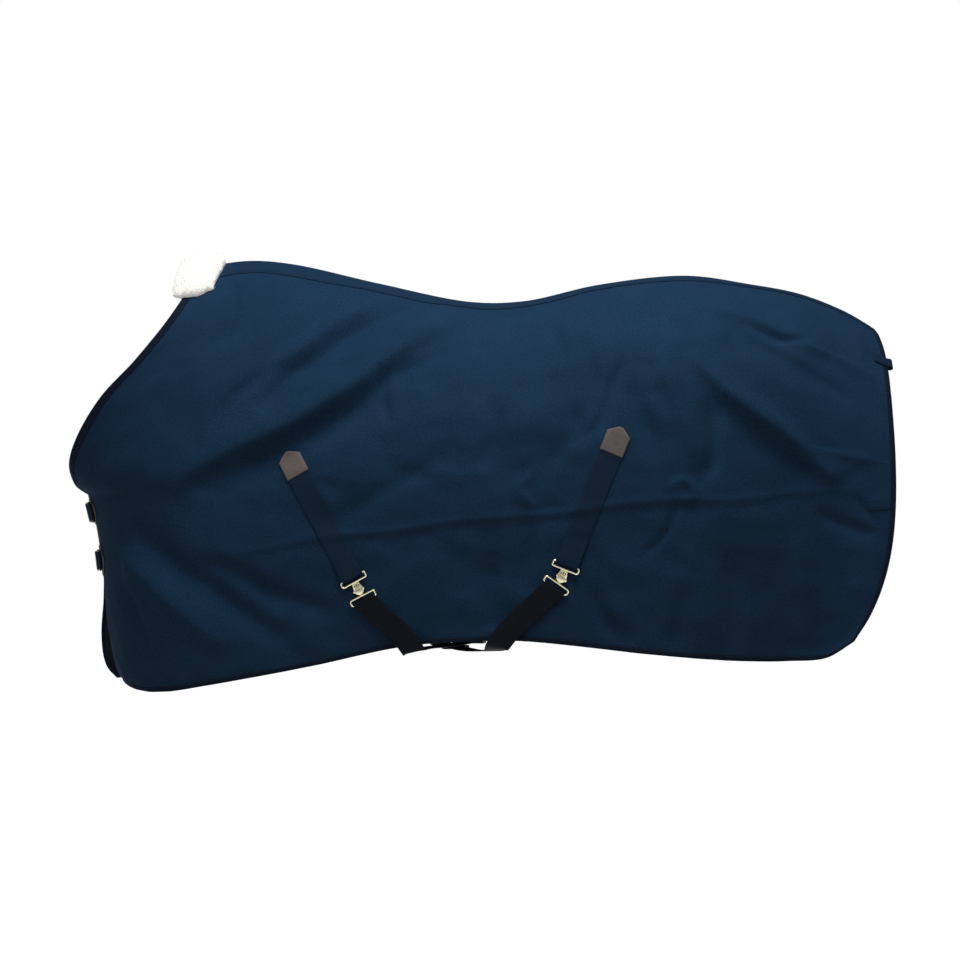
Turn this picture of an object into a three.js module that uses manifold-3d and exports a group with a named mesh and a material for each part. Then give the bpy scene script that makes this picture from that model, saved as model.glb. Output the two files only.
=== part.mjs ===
// Turnout rug for a horse, shown closed and shaped as it sits on the animal.
// Millimetres. +X runs towards the tail, -Y is the near (left) side, +Z is up.
// The origin is on the spine seam, at the dip of the back.
import * as THREE from 'three';
import { mergeVertices } from 'three/addons/utils/BufferGeometryUtils.js';
import Module from 'manifold-3d';

const wasm = await Module();
wasm.setup();

// Overall sizes of the shaped rug
const RUG_LENGTH = 1820;
const RUG_DROP = 950;
const HALF_WIDTH = 305;

// Cloth
const CANVAS = 1.6;
const LINING = 4;
const LAYER_GAP = 0.4;
const SEAT_GAP = 0.3;
const BINDING_WIDTH = 10;
const NECK_BINDING_WIDTH = 18;
const BINDING_STAND = 0.8;
const SPINE_TAPE_WIDTH = 90;
const SPINE_TAPE = 1.2;
const SPINE_TAPE_STAND = 0.7;
const FAR_FLAP_LEAD = 34;

// Webbing and leather
const STRAP_WIDTH = 50;
const STRAP = 1.8;
const STRAP_STAND = 0.7;
const CHAPE = 1.5;
const LEATHER = 2;
const PATCH_WIDTH = 52;
const PATCH_WALL = 44;
const PATCH_POINT = 16;
const UNDER_PATCH = 16;
const FAR_END_LENGTH = 62;

// Surcingle clips
const WIRE = 4.2;
const RING_WIDTH = 63;
const RING_DEPTH = 16.2;
const RING_CORNER = 6;
const CLIP_STAND = 6.5;
const CLIP_PLAY = 0.9;
const PLATE = 2;
const NECK_PLACE = 20;
const LOWER_RAIL = 33;
const BAR_GAP = 8;
const HEAD_WIDTH = 25;
const HEAD_THICKNESS = 2.2;

// Sliders on the lower straps
const SLIDER_LENGTH = 26;
const SLIDER_WALL = 2.5;
const SLIDER_PLAY = 0.9;

// Chest closures
const FRAME_LENGTH = 46;
const FRAME_WIRE = 3.6;
const FRAME_STAND = 8.3;
const CHEST_STRAP_WIDTH = 40;
const TONGUE = 2.4;
const TONGUE_EYE = 1.2;
const TONGUE_PLAY = 0.5;
const CHEST_PATCH_LENGTH = 62;
const CHEST_PATCH_STAND = 1.3;
const CHEST_LEATHER = 1.2;
const KEEPER_WIDTH = 14;
const KEEPER_WALL = 1;
const KEEPER_PLACE = 40;

// Rear fittings
const TAB_WIDTH = 25;
const D_RING_WIDTH = 40;
const D_RING_HEIGHT = 34;
const D_RING_BAR = 5;
const D_RING_THICKNESS = 3;
const RING_PLAY = 2;
const LEG_PATCH_LENGTH = 50;
const LEG_PATCH_HEIGHT = 113;
const LEG_PATCH = 0.8;
const LEG_PATCH_STAND = 1;
const TAIL_LOOP_REACH = 14;
const TAIL_LOOP_PLAY = 1.6;

// Fleece at the withers
const FLEECE_FRONT = 40;
const FLEECE_BACK = 58;
const FLEECE_SPREAD = 98;
const FLEECE_PILE = 32;
const FLEECE_EDGE = 8;

const rug = new THREE.Group();
rug.name = 'turnout_rug';

// ---------------------------------------------------------------- materials
function finish(color, roughness, metalness) {
  return new THREE.MeshStandardMaterial({ color, roughness, metalness });
}
const canvasCloth = () => finish(0x182f4a, 0.85, 0);
const liningCloth = () => finish(0x14161b, 0.95, 0);
const bindingCloth = () => finish(0x101a28, 0.85, 0);
const webbing = () => finish(0x12243a, 0.8, 0);
const blackWebbing = () => finish(0x0c1118, 0.85, 0);
const leather = () => finish(0x625552, 0.7, 0);
const brass = () => finish(0xebe4be, 0.3, 1);
const blackMetal = () => finish(0x15171a, 0.5, 0.6);
const fleecePile = () => finish(0xf8f8f2, 1, 0);

// ------------------------------------------------------- shape of the cloth
// A place on the rug's outline: shares of the length, the half-width and the drop.
function outlinePoint([x, y, z]) {
  return new THREE.Vector3(x * RUG_LENGTH, -y * HALF_WIDTH, z * RUG_DROP);
}

function smoothCurve(points) {
  return new THREE.CatmullRomCurve3(points.map(outlinePoint), false, 'centripetal');
}

// The seam over the back, from the withers to the top of the tail.
const spineLine = smoothCurve([
  [-0.346, 0, 0.082], [-0.286, 0, 0.098], [-0.231, 0, 0.09], [-0.126, 0, 0.045], [-0.012, 0, 0.001],
  [0.055, 0, 0.003], [0.148, 0, 0.042], [0.255, 0, 0.063], [0.33, 0, 0.044], [0.395, 0, 0.02],
  [0.45, 0, -0.021], [0.487, 0, -0.062],
]);

// The lower edge, from the chest to the rear corner.
const hemLine = smoothCurve([
  [-0.433, 0.16, -0.89], [-0.411, 0.33, -0.904], [-0.38, 0.5, -0.905], [-0.33, 0.72, -0.89],
  [-0.204, 0.93, -0.844], [-0.095, 0.985, -0.798], [-0.02, 1, -0.784], [0.05, 1, -0.783],
  [0.2, 0.98, -0.813], [0.302, 0.94, -0.83], [0.372, 0.82, -0.833], [0.416, 0.72, -0.826], [0.448, 0.69, -0.79],
]);

// The neck edge, from the withers down to the top of the chest opening.
const neckLine = smoothCurve([
  [-0.346, 0, 0.082], [-0.357, 0.27, 0.024], [-0.381, 0.49, -0.057], [-0.417, 0.575, -0.146],
  [-0.4555, 0.575, -0.225], [-0.4845, 0.51, -0.31], [-0.5, 0.36, -0.38], [-0.4965, 0.16, -0.43],
  [-0.4835, 0.012, -0.4525],
]);

// The closing edge down the front, below the neck edge.
const frontLine = smoothCurve([
  [-0.4835, 0.012, -0.4525], [-0.474, 0.012, -0.518], [-0.467, 0.012, -0.6], [-0.461, 0.012, -0.7],
  [-0.4545, 0.03, -0.8], [-0.445, 0.09, -0.86], [-0.433, 0.16, -0.89],
]);

// The rear edge, from the tail down to the rear corner.
const rearLine = smoothCurve([
  [0.487, 0, -0.062], [0.4885, 0.2, -0.082], [0.492, 0.38, -0.125], [0.495, 0.56, -0.22], [0.498, 0.66, -0.36],
  [0.498, 0.68, -0.48], [0.493, 0.68, -0.58], [0.483, 0.68, -0.66], [0.468, 0.68, -0.73], [0.448, 0.69, -0.79],
]);

// Section of the body: share of the half-width against share of the drop.
const sectionLine = new THREE.CatmullRomCurve3([
  [0, 0], [0.3, 0.022], [0.58, 0.085], [0.82, 0.2], [0.95, 0.35], [1, 0.55], [0.995, 0.78], [0.98, 1],
].map(([across, down]) => new THREE.Vector3(across * HALF_WIDTH, down * RUG_DROP, 0)), false, 'centripetal');

// Widest half-width along the body, as a share of HALF_WIDTH.
const widthLine = new THREE.CatmullRomCurve3([
  [0, 0.68], [0.18, 0.8], [0.45, 1], [0.75, 0.97], [1, 0.68],
].map(([along, wide]) => new THREE.Vector3(along, wide, 0)));

const CHEST_TURN = 0.16;
const CHEST_ROW = CHEST_TURN * Math.PI / 2 / (1 - CHEST_TURN + CHEST_TURN * Math.PI / 2);
const NECK_SHARE = 0.6;
const STEP = 1e-4;
const SKIN_ACROSS = 900;
const SKIN_ALONG = 1720;
const NECK_ALONG = 1050;

const clamp = THREE.MathUtils.clamp;
const smooth = THREE.MathUtils.smoothstep;
const mix = THREE.MathUtils.lerp;

// How much of the chest's full turn a row makes: none at the withers, all of it below the neck edge.
function chestShare(v) {
  return smooth(v, NECK_SHARE - 0.2, NECK_SHARE + 0.02);
}

// Columns are spaced evenly round the turn of the chest, then evenly along the flank.
function alongShare(u, v) {
  if (u < CHEST_ROW) {
    const part = u / CHEST_ROW;
    return CHEST_TURN * mix(part, 1 - Math.cos(Math.PI / 2 * part), chestShare(v));
  }
  return CHEST_TURN + (1 - CHEST_TURN) * (u - CHEST_ROW) / (1 - CHEST_ROW);
}

function frontColumn(v) {
  if (v < NECK_SHARE) {
    return neckLine.getPointAt(v / NECK_SHARE);
  }
  return frontLine.getPointAt((v - NECK_SHARE) / (1 - NECK_SHARE));
}

function innerSkin(u, v) {
  const share = alongShare(u, v);
  const section = sectionLine.getPointAt(v);
  const across = section.x / HALF_WIDTH;
  const down = section.y / RUG_DROP;
  const top = spineLine.getPointAt(share);
  const hem = hemLine.getPointAt(share);
  const front = frontColumn(v);
  const rear = rearLine.getPointAt(v);
  const frontPull = (1 - share) ** 2;
  const rearPull = share ** 2;
  const blend = (axis) => mix(top[axis], hem[axis], down)
    + frontPull * (front[axis] - mix(spineLine.points[0][axis], hemLine.points[0][axis], down))
    + rearPull * (rear[axis] - mix(spineLine.points.at(-1)[axis], hemLine.points.at(-1)[axis], down));
  const turn = clamp(share / CHEST_TURN, 0, 1);
  const round = Math.sqrt(1 - (1 - turn) ** 2);
  const gentle = turn * (2 - turn);
  const opened = mix(gentle, round, chestShare(v));
  const tail = smooth(share, 0.72, 1) ** 1.5;
  const width = widthLine.getPoint(share).y * HALF_WIDTH;
  const body = mix(-width * across, rear.y, tail);
  return new THREE.Vector3(blend('x'), mix(front.y, body, opened), blend('z'));
}

// Past its edges the skin goes straight on, so that pieces can overhang it.
function nearSkin(u, v) {
  const insideU = clamp(u, STEP, 1 - STEP);
  const insideV = clamp(v, 0, 1 - STEP);
  const place = innerSkin(insideU, insideV);
  if (u < STEP || u > 1 - STEP) {
    const inner = innerSkin(clamp(u, 0.01, 0.99), insideV);
    place.addScaledVector(place.clone().sub(inner), Math.abs(u - insideU) / (0.01 - STEP));
  }
  if (v > 1 - STEP) {
    const inner = innerSkin(insideU, 0.99);
    place.addScaledVector(innerSkin(insideU, insideV).sub(inner), (v - insideV) / (0.01 - STEP));
  }
  return place;
}

function nearNormal(u, v) {
  const step = 0.002;
  const alongRow = nearSkin(u + step, v).sub(nearSkin(u - step, v));
  const low = Math.max(v - step, 0);
  const downColumn = nearSkin(u, v + step).sub(nearSkin(u, low));
  const normal = downColumn.cross(alongRow).normalize();
  normal.y *= clamp(v / 0.01, 0, 1);
  return normal.normalize();
}

// Outer face of the canvas at (u, v), raised by `stand`. Side -1 is near, +1 is far.
function skin(side, u, v, stand) {
  const place = nearSkin(u, v).addScaledVector(nearNormal(u, v), stand);
  if (side > 0) {
    const lead = FAR_FLAP_LEAD * smooth(v, 0.74, 1) * (1 - smooth(u, 0, 0.2));
    place.set(place.x - lead, -place.y, place.z);
  }
  return place;
}

// ------------------------------------------------------------ solid helpers
function closed(geometry) {
  const bare = geometry.index ? geometry.toNonIndexed() : geometry;
  bare.deleteAttribute('normal');
  bare.deleteAttribute('uv');
  const merged = mergeVertices(bare, 1e-4);
  const kept = [];
  for (let i = 0; i < merged.index.count; i += 3) {
    const triangle = [0, 1, 2].map((k) => merged.index.getX(i + k));
    if (new Set(triangle).size === 3) {
      kept.push(...triangle);
    }
  }
  merged.setIndex(kept);
  return merged;
}

function signedVolume(geometry) {
  const at = geometry.attributes.position;
  const index = geometry.index;
  const corner = [new THREE.Vector3(), new THREE.Vector3(), new THREE.Vector3()];
  let volume = 0;
  for (let i = 0; i < index.count; i += 3) {
    corner.forEach((point, k) => point.fromBufferAttribute(at, index.getX(i + k)));
    volume += corner[0].dot(corner[1].clone().cross(corner[2])) / 6;
  }
  return volume;
}

function facingOut(geometry) {
  if (signedVolume(geometry) > 0) {
    return geometry;
  }
  const index = geometry.index;
  for (let i = 0; i < index.count; i += 3) {
    const second = index.getX(i + 1);
    index.setX(i + 1, index.getX(i + 2));
    index.setX(i + 2, second);
  }
  return geometry;
}

// A box in cells whose front and back faces are split along the same diagonals.
function cellBox(alongCells, acrossCells, throughCells) {
  const box = new THREE.BoxGeometry(1, 1, 1, alongCells, acrossCells, throughCells);
  const { start, count } = box.groups.at(-1);
  for (let i = start; i < start + count; i += 6) {
    const [first, second, fourth, , third] = [0, 1, 2, 3, 4].map((k) => box.index.getX(i + k));
    [first, second, third, first, third, fourth].forEach((corner, k) => box.index.setX(i + k, corner));
  }
  return closed(box);
}

// A box in cells whose points (s, t, h), each from 0 to 1, are moved by a function.
function shapedBox(alongCells, acrossCells, throughCells, place) {
  const box = cellBox(alongCells, acrossCells, throughCells);
  const at = box.attributes.position;
  for (let i = 0; i < at.count; i += 1) {
    const point = place(at.getX(i) + 0.5, at.getY(i) + 0.5, at.getZ(i) + 0.5);
    at.setXYZ(i, point.x, point.y, point.z);
  }
  return facingOut(box);
}

// A strip's station between two points of its edges: its middle, and half of its width.
function between(left, right) {
  return { centre: left.clone().lerp(right, 0.5), across: left.clone().sub(right).multiplyScalar(0.5) };
}

// A flat strip through stations of { centre, across }, where across is half of its width.
function strip(stations, thickness) {
  const last = stations.length - 1;
  return shapedBox(last, 1, 1, (s, t, h) => {
    const i = Math.round(s * last);
    const ahead = stations[Math.min(i + 1, last)].centre.clone();
    const run = ahead.sub(stations[Math.max(i - 1, 0)].centre);
    const { centre, across } = stations[i];
    const face = run.cross(across).normalize();
    return centre.clone().addScaledVector(across, 2 * t - 1).addScaledVector(face, (h - 0.5) * thickness);
  });
}

function toManifold(geometry) {
  const merged = closed(geometry);
  const vertProperties = new Float32Array(merged.attributes.position.array);
  const triVerts = new Uint32Array(merged.index.array);
  return new wasm.Manifold(new wasm.Mesh({ numProp: 3, vertProperties, triVerts }));
}

function toGeometry(solid) {
  const { vertProperties, triVerts } = solid.getMesh();
  const geometry = new THREE.BufferGeometry();
  geometry.setAttribute('position', new THREE.BufferAttribute(new Float32Array(vertProperties), 3));
  geometry.setIndex(new THREE.BufferAttribute(new Uint32Array(triVerts), 1));
  return geometry;
}

function joined(base, added) {
  return toGeometry(added.reduce((solid, piece) => solid.add(toManifold(piece)), toManifold(base)));
}

function cut(base, removed) {
  return toGeometry(removed.reduce((solid, piece) => solid.subtract(toManifold(piece)), toManifold(base)));
}

function block(lowA, highA, halfB, lowN, highN) {
  const box = new THREE.BoxGeometry(highA - lowA, 2 * halfB, highN - lowN);
  return box.translate((lowA + highA) / 2, 0, (lowN + highN) / 2);
}

function add(name, geometry, material, matrix) {
  const mesh = new THREE.Mesh(geometry, material);
  mesh.name = name;
  if (matrix) {
    matrix.decompose(mesh.position, mesh.quaternion, mesh.scale);
  }
  rug.add(mesh);
  return mesh;
}

// ---------------------------------------------------- frames on the surface
// A flat frame that touches the skin: `a` runs along a given direction, `b` across it, `n` outwards.
function surfaceFrame(side, u, v, direction) {
  const origin = skin(side, u, v, 0);
  const normal = skin(side, u, v, 1).sub(origin).normalize();
  const along = direction.clone().addScaledVector(normal, -direction.dot(normal)).normalize();
  const across = normal.clone().cross(along);
  const matrix = new THREE.Matrix4().makeBasis(along, across, normal).setPosition(origin);
  const flat = (a, b, n) => new THREE.Vector3(a, b, n).applyMatrix4(matrix);
  return { side, u, v, origin, along, across, normal, matrix, flat };
}

// The skin's (u, v) under the point (a, b) of a frame, found by Newton steps.
function uvUnder(frame, a, b) {
  const target = frame.flat(a, b, 0);
  const miss = (u, v) => {
    const off = skin(frame.side, u, v, 0).sub(target);
    return [off.dot(frame.along), off.dot(frame.across)];
  };
  const step = 5e-4;
  let { u, v } = frame;
  for (let turn = 0; turn < 12; turn += 1) {
    const [p, q] = miss(u, v);
    const [pu, qu] = miss(u + step, v);
    const [pv, qv] = miss(u, v + step);
    const [a11, a12, a21, a22] = [(pu - p) / step, (pv - p) / step, (qu - q) / step, (qv - q) / step];
    const size = a11 * a22 - a12 * a21;
    u = clamp(u - (a22 * p - a12 * q) / size, -0.06, 1.06);
    v = clamp(v - (a11 * q - a21 * p) / size, 0, 1.06);
  }
  return { u, v };
}

function onSkin(frame, a, b, n) {
  const { u, v } = uvUnder(frame, a, b);
  return skin(frame.side, u, v, n);
}

// Flat near the frame's origin, lying on the skin past `far`.
function draped(frame, a, b, n, near, far) {
  const share = smooth(Math.abs(a), near, far);
  if (share === 0) {
    return frame.flat(a, b, n);
  }
  return frame.flat(a, b, n).lerp(onSkin(frame, a, b, n), share);
}

// The frame at a place of the near or far flank, given in shares of the length and the drop.
function flankFrame(side, xShare, zShare, direction) {
  const target = outlinePoint([xShare, 0, zShare]);
  let best = { miss: Infinity };
  for (let i = 0; i <= 40; i += 1) {
    for (let j = 4; j <= 40; j += 1) {
      const place = skin(side, i / 40, j / 40, 0);
      const miss = Math.hypot(place.x - target.x, place.z - target.z);
      if (miss < best.miss) {
        best = { miss, u: i / 40, v: j / 40 };
      }
    }
  }
  let frame = surfaceFrame(side, best.u, best.v, direction);
  for (let turn = 0; turn < 3; turn += 1) {
    const off = target.clone().sub(frame.origin);
    off.y = 0;
    const { u, v } = uvUnder(frame, off.dot(frame.along), off.dot(frame.across));
    frame = surfaceFrame(side, u, v, direction);
  }
  return frame;
}

// ------------------------------------------------------------------- cloth
const PANEL_ALONG = 26;
const PANEL_ACROSS = 15;
const NECK_ROWS = Math.round(NECK_SHARE * PANEL_ACROSS);

const hemBand = BINDING_WIDTH / SKIN_ACROSS;
const neckBand = NECK_BINDING_WIDTH / NECK_ALONG;
const edgeBand = BINDING_WIDTH / SKIN_ALONG;
const seatAlong = SEAT_GAP / SKIN_ALONG * 2;
const seatAcross = SEAT_GAP / SKIN_ACROSS * 3;

// The rows and columns that every cloth piece shares, so that their facets match.
function rowPlace(row) {
  if (row <= NECK_ROWS) {
    return mix(seatAcross * 1.5, NECK_SHARE, row / NECK_ROWS);
  }
  return mix(NECK_SHARE, 1 - hemBand - seatAcross, (row - NECK_ROWS) / (PANEL_ACROSS - NECK_ROWS));
}

function columnPlace(column, band) {
  return mix(band + seatAlong, 1 - edgeBand - seatAlong, column / PANEL_ALONG);
}

function frontBand(row) {
  return row < NECK_ROWS ? neckBand + 3 * seatAlong : edgeBand;
}

function panel(side, outer, thickness) {
  return shapedBox(PANEL_ALONG, PANEL_ACROSS, 1, (s, t, h) => {
    const row = Math.round(t * PANEL_ACROSS);
    const u = columnPlace(Math.round(s * PANEL_ALONG), frontBand(row));
    return skin(side, u, rowPlace(row), outer - h * thickness);
  });
}

// A binding along one edge; `place` gives (u, v) from the cell's number and the width t.
function binding(side, cells, place) {
  const depth = CANVAS + LAYER_GAP + LINING + 2 * BINDING_STAND;
  return shapedBox(cells, 1, 1, (s, t, h) => {
    const { u, v } = place(Math.round(s * cells), t);
    return skin(side, u, v, BINDING_STAND - h * depth);
  });
}

// The hem binding runs past both end bindings, so it has a cell more at each end.
function hemColumn(cell) {
  if (cell === 0 || cell === PANEL_ALONG + 2) {
    return cell === 0 ? 0 : 1;
  }
  return columnPlace(cell - 1, edgeBand);
}

function addCloth() {
  for (const [side, word] of [[-1, 'near'], [1, 'far']]) {
    add(`shell_${word}`, panel(side, 0, CANVAS), canvasCloth());
    add(`lining_${word}`, panel(side, -CANVAS - LAYER_GAP, LINING), liningCloth());
    add(`neck_binding_${word}`, binding(side, NECK_ROWS, (row, t) => ({
      u: (row === NECK_ROWS ? edgeBand : neckBand) * t,
      v: rowPlace(row) - (row === NECK_ROWS ? seatAcross : 0),
    })), bindingCloth());
    add(`front_binding_${word}`, binding(side, PANEL_ACROSS - NECK_ROWS, (row, t) => (
      { u: edgeBand * t, v: rowPlace(row + NECK_ROWS) })), bindingCloth());
    add(`hem_binding_${word}`, binding(side, PANEL_ALONG + 2, (cell, t) => (
      { u: hemColumn(cell), v: 1 - hemBand * t })), bindingCloth());
    add(`rear_binding_${word}`, binding(side, PANEL_ACROSS, (row, t) => (
      { u: 1 - edgeBand * t, v: rowPlace(row) })), bindingCloth());
  }
}

function addSpineTape() {
  const tape = shapedBox(PANEL_ALONG - 1, 6, 1, (s, t, h) => {
    const across = (2 * t - 1) * SPINE_TAPE_WIDTH / 2;
    const column = 1 + Math.round(s * (PANEL_ALONG - 1));
    const u = columnPlace(column, neckBand) - (column === PANEL_ALONG ? seatAlong : 0);
    return skin(across < 0 ? -1 : 1, u, Math.abs(across) / SKIN_ACROSS, SPINE_TAPE_STAND + h * SPINE_TAPE);
  });
  add('spine_tape', tape, bindingCloth());
}

// A place on the withers, `back` behind the neck edge, or in front of it when negative.
function onWithers(side, back, v, stand) {
  const place = skin(side, Math.max(back, 0.2) / NECK_ALONG, v, stand);
  if (back < 0) {
    const behind = skin(side, 20 / NECK_ALONG, v, stand);
    place.addScaledVector(behind.sub(place).normalize(), back);
  }
  return place;
}

// A pad over the neckline, thickest in its middle.
function addFleece() {
  const pad = shapedBox(8, 10, 1, (s, t, h) => {
    const across = 2 * t - 1;
    const back = mix(-FLEECE_FRONT, FLEECE_BACK, s);
    const crown = (1 - (2 * s - 1) ** 4) * (1 - across ** 4);
    const low = BINDING_STAND + SEAT_GAP + SPINE_TAPE;
    const stand = low + h * (FLEECE_EDGE + (FLEECE_PILE - FLEECE_EDGE) * crown);
    return onWithers(across < 0 ? -1 : 1, back, Math.abs(across) * FLEECE_SPREAD / SKIN_ACROSS, stand);
  });
  add('wither_fleece', pad, fleecePile());
}

// ---------------------------------------------------------------- surcingles
// A leather patch with a point, its straight end at a = 0 and its point at a = -(wall + point).
function pointedPatch(frame, start, wall, point, width, low, thickness) {
  const length = wall + point;
  return shapedBox(6, 4, 1, (s, t, h) => {
    const back = s * length;
    const narrow = back < wall ? 1 : 1 - 0.86 * (back - wall) / point;
    return onSkin(frame, start - back, (t - 0.5) * width * narrow, low + h * thickness);
  });
}

// A closed loop of wire, flat at n = 0, whose outer edges lie at a = low and a = high.
function wireLoop(low, high, half, nearRadius, farRadius, wire) {
  const bevel = wire * 0.28;
  const outline = (inset) => {
    const shape = new THREE.Shape();
    const side = half - inset;
    for (const [a, toSide, radius, from] of [
      [high - inset, -1, farRadius, -0.5], [high - inset, 1, farRadius, 0],
      [low + inset, 1, nearRadius, 0.5], [low + inset, -1, nearRadius, 1],
    ]) {
      const size = Math.max(radius - inset, 0.2);
      const inwards = a === high - inset ? -size : size;
      shape.absarc(a + inwards, toSide * (side - size), size, from * Math.PI, (from + 0.5) * Math.PI, false);
    }
    return shape;
  };
  const shape = outline(bevel);
  shape.holes.push(outline(wire - bevel));
  const loop = new THREE.ExtrudeGeometry(shape, {
    depth: wire - 2 * bevel, curveSegments: 3, bevelThickness: bevel, bevelSize: bevel, bevelSegments: 1,
  });
  return loop.translate(0, 0, -wire / 2 + bevel);
}

// A clip's ring: one rail at a = place, the other a ring's depth away towards `way`.
function wireRing(place, way) {
  const ring = wireLoop(-WIRE / 2, RING_DEPTH - WIRE / 2, RING_WIDTH / 2, RING_CORNER, RING_CORNER, WIRE);
  if (way < 0) {
    ring.rotateZ(Math.PI);
  }
  return ring.translate(place, 0, CLIP_STAND);
}

// A flat plate from an outline of half-widths [[a, half], ...].
function flatPlate(halfWidths, low, thickness) {
  const shape = new THREE.Shape(halfWidths.map(([a, half]) => new THREE.Vector2(a, half))
    .concat(halfWidths.toReversed().map(([a, half]) => new THREE.Vector2(a, -half))));
  return new THREE.ExtrudeGeometry(shape, { depth: thickness, bevelEnabled: false }).translate(0, 0, low);
}

const PLATE_LOW = CLIP_STAND - PLATE / 2;
const SLOT_FROM = 16.5;
const SLOT_TO = 23.5;
const PLATE_END = 27;
const SLIT_WIDTH = 2;

// Upper half: a ring for the sewn strap, and a slitted plate whose slot takes the hook.
function clipPlateHalf() {
  const plate = flatPlate([[0, 7.2], [6, 8.4], [14, 10.2], [22, 10.4], [PLATE_END, 7]], PLATE_LOW, PLATE);
  const slits = [[-5, 6, 11], [0, 4.5, 13], [5, 6, 11]].map(([across, from, to]) => (
    block(from, to, SLIT_WIDTH / 2, 0, 2 * CLIP_STAND).translate(0, across, 0)));
  const slot = block(SLOT_FROM, SLOT_TO, 5, 0, 2 * CLIP_STAND);
  return cut(joined(wireRing(0, -1), [plate]), [...slits, slot]);
}

const HEAD_LOW = PLATE_LOW + PLATE + CLIP_PLAY;
const STEM_HIGH = PLATE_LOW - CLIP_PLAY;
const STEM_LOW = STEM_HIGH - PLATE;

// Lower half, in a frame with the hook's neck at a = 0: head, neck, stem and an open ring.
function clipHookHalf() {
  const rail = LOWER_RAIL - NECK_PLACE;
  const ring = cut(wireRing(rail, 1), [block(rail - WIRE, rail + WIRE, BAR_GAP / 2, 0, 2 * CLIP_STAND)]);
  const half = HEAD_WIDTH / 2;
  const head = flatPlate([
    [-4, half - 3], [-3, half], [1.5, half], [2.5, 9.2], [6, 7.8], [8.4, 4.8], [9.4, 1.6],
  ], HEAD_LOW, HEAD_THICKNESS);
  const neck = block(-2, 2, 3, STEM_LOW + 0.2, HEAD_LOW + 0.2);
  const stem = block(-2, rail + WIRE / 2, 4.2, STEM_LOW, STEM_HIGH);
  const foot = block(rail - WIRE / 2 + 0.6, rail + WIRE / 2 - 0.4, 10, STEM_LOW + 0.3, CLIP_STAND - 1);
  return joined(ring, [head, neck, stem, foot]);
}

// Half a turn of a strip round a rail, from behind it to in front of it, on the side that `way` points to.
function turnRoundRail(place, way, reach) {
  const turns = [];
  for (let i = 0; i <= 8; i += 1) {
    const angle = Math.PI * i / 8;
    turns.push([place + way * Math.sin(angle) * reach, CLIP_STAND - Math.cos(angle) * reach]);
  }
  return turns;
}

const LOOP_REACH = WIRE / 2 + SEAT_GAP + STRAP / 2;
const HIDDEN_RAIL = RING_DEPTH - WIRE;

// The sewn upper strap: it lies on the canvas and loops round the ring's hidden rail.
function upperStrap(frame, length) {
  const behind = CLIP_STAND - LOOP_REACH;
  const profile = [[-HIDDEN_RAIL - 26, behind], [-HIDDEN_RAIL - 12, behind],
    ...turnRoundRail(-HIDDEN_RAIL, 1, LOOP_REACH)];
  const flatStand = STRAP_STAND + STRAP / 2;
  const steps = 12;
  for (let i = 1; i <= steps; i += 1) {
    const back = mix(10, length - HIDDEN_RAIL, i / steps);
    const overEnd = behind + STRAP + 2 * SEAT_GAP;
    const drop = back < 32 ? mix(CLIP_STAND + LOOP_REACH, overEnd, smooth(back, 0, 32))
      : mix(overEnd, flatStand, smooth(back, 32, 62));
    profile.push([-HIDDEN_RAIL - back, drop]);
  }
  const stations = profile.map(([a, n]) => {
    const left = draped(frame, a, STRAP_WIDTH / 2, n, 40, 90);
    const right = draped(frame, a, -STRAP_WIDTH / 2, n, 40, 90);
    return between(left, right);
  });
  return strip(stations, STRAP);
}

const BELLY_STATIONS = 30;

// The lower strap's middle line, from the hook's ring round the belly to the far hem.
function bellyRoute(clip, hook, run, plan) {
  const rail = LOWER_RAIL - NECK_PLACE + HIDDEN_RAIL;
  const ringPoint = hook.flat(rail, 0, CLIP_STAND + LOOP_REACH);
  const hemNear = skin(-1, plan.nearU, 1, 0);
  const hemFar = skin(1, plan.farU, 1, 0);
  const nearOut = hemNear.clone().add(new THREE.Vector3(0, -6.5, 0));
  const toHem = nearOut.clone().sub(ringPoint);
  return new THREE.CatmullRomCurve3([
    ringPoint.clone().addScaledVector(run, 8),
    ringPoint.clone().addScaledVector(toHem, 0.45).addScaledVector(clip.normal, -1.5),
    ringPoint.clone().addScaledVector(toHem, 0.82).addScaledVector(clip.normal, -1),
    nearOut.clone().add(new THREE.Vector3(plan.drift * 4, -2, -13)),
    new THREE.Vector3(mix(nearOut.x, hemFar.x, 0.05), hemNear.y + 22, plan.nearZ),
    new THREE.Vector3(mix(nearOut.x, hemFar.x, 0.28), hemNear.y * 0.45, mix(plan.nearZ, plan.middleZ, 0.7)),
    new THREE.Vector3(mix(nearOut.x, hemFar.x, 0.5), 0, plan.middleZ),
    new THREE.Vector3(mix(nearOut.x, hemFar.x, 0.72), hemFar.y * 0.45, mix(plan.farZ, plan.middleZ, 0.7)),
    new THREE.Vector3(mix(nearOut.x, hemFar.x, 0.95), hemFar.y - 22, plan.farZ),
    new THREE.Vector3(hemFar.x, hemFar.y + 1, plan.farZ + 5),
    new THREE.Vector3(hemFar.x, hemFar.y + SEAM_STAND, hemFar.z - SEAM_DROP),
  ], false, 'centripetal');
}

const HEM_TURN = 0.08;
const SEAM_DROP = 10;
const SEAM_STAND = BINDING_STAND + SEAT_GAP + STRAP / 2;

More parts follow.
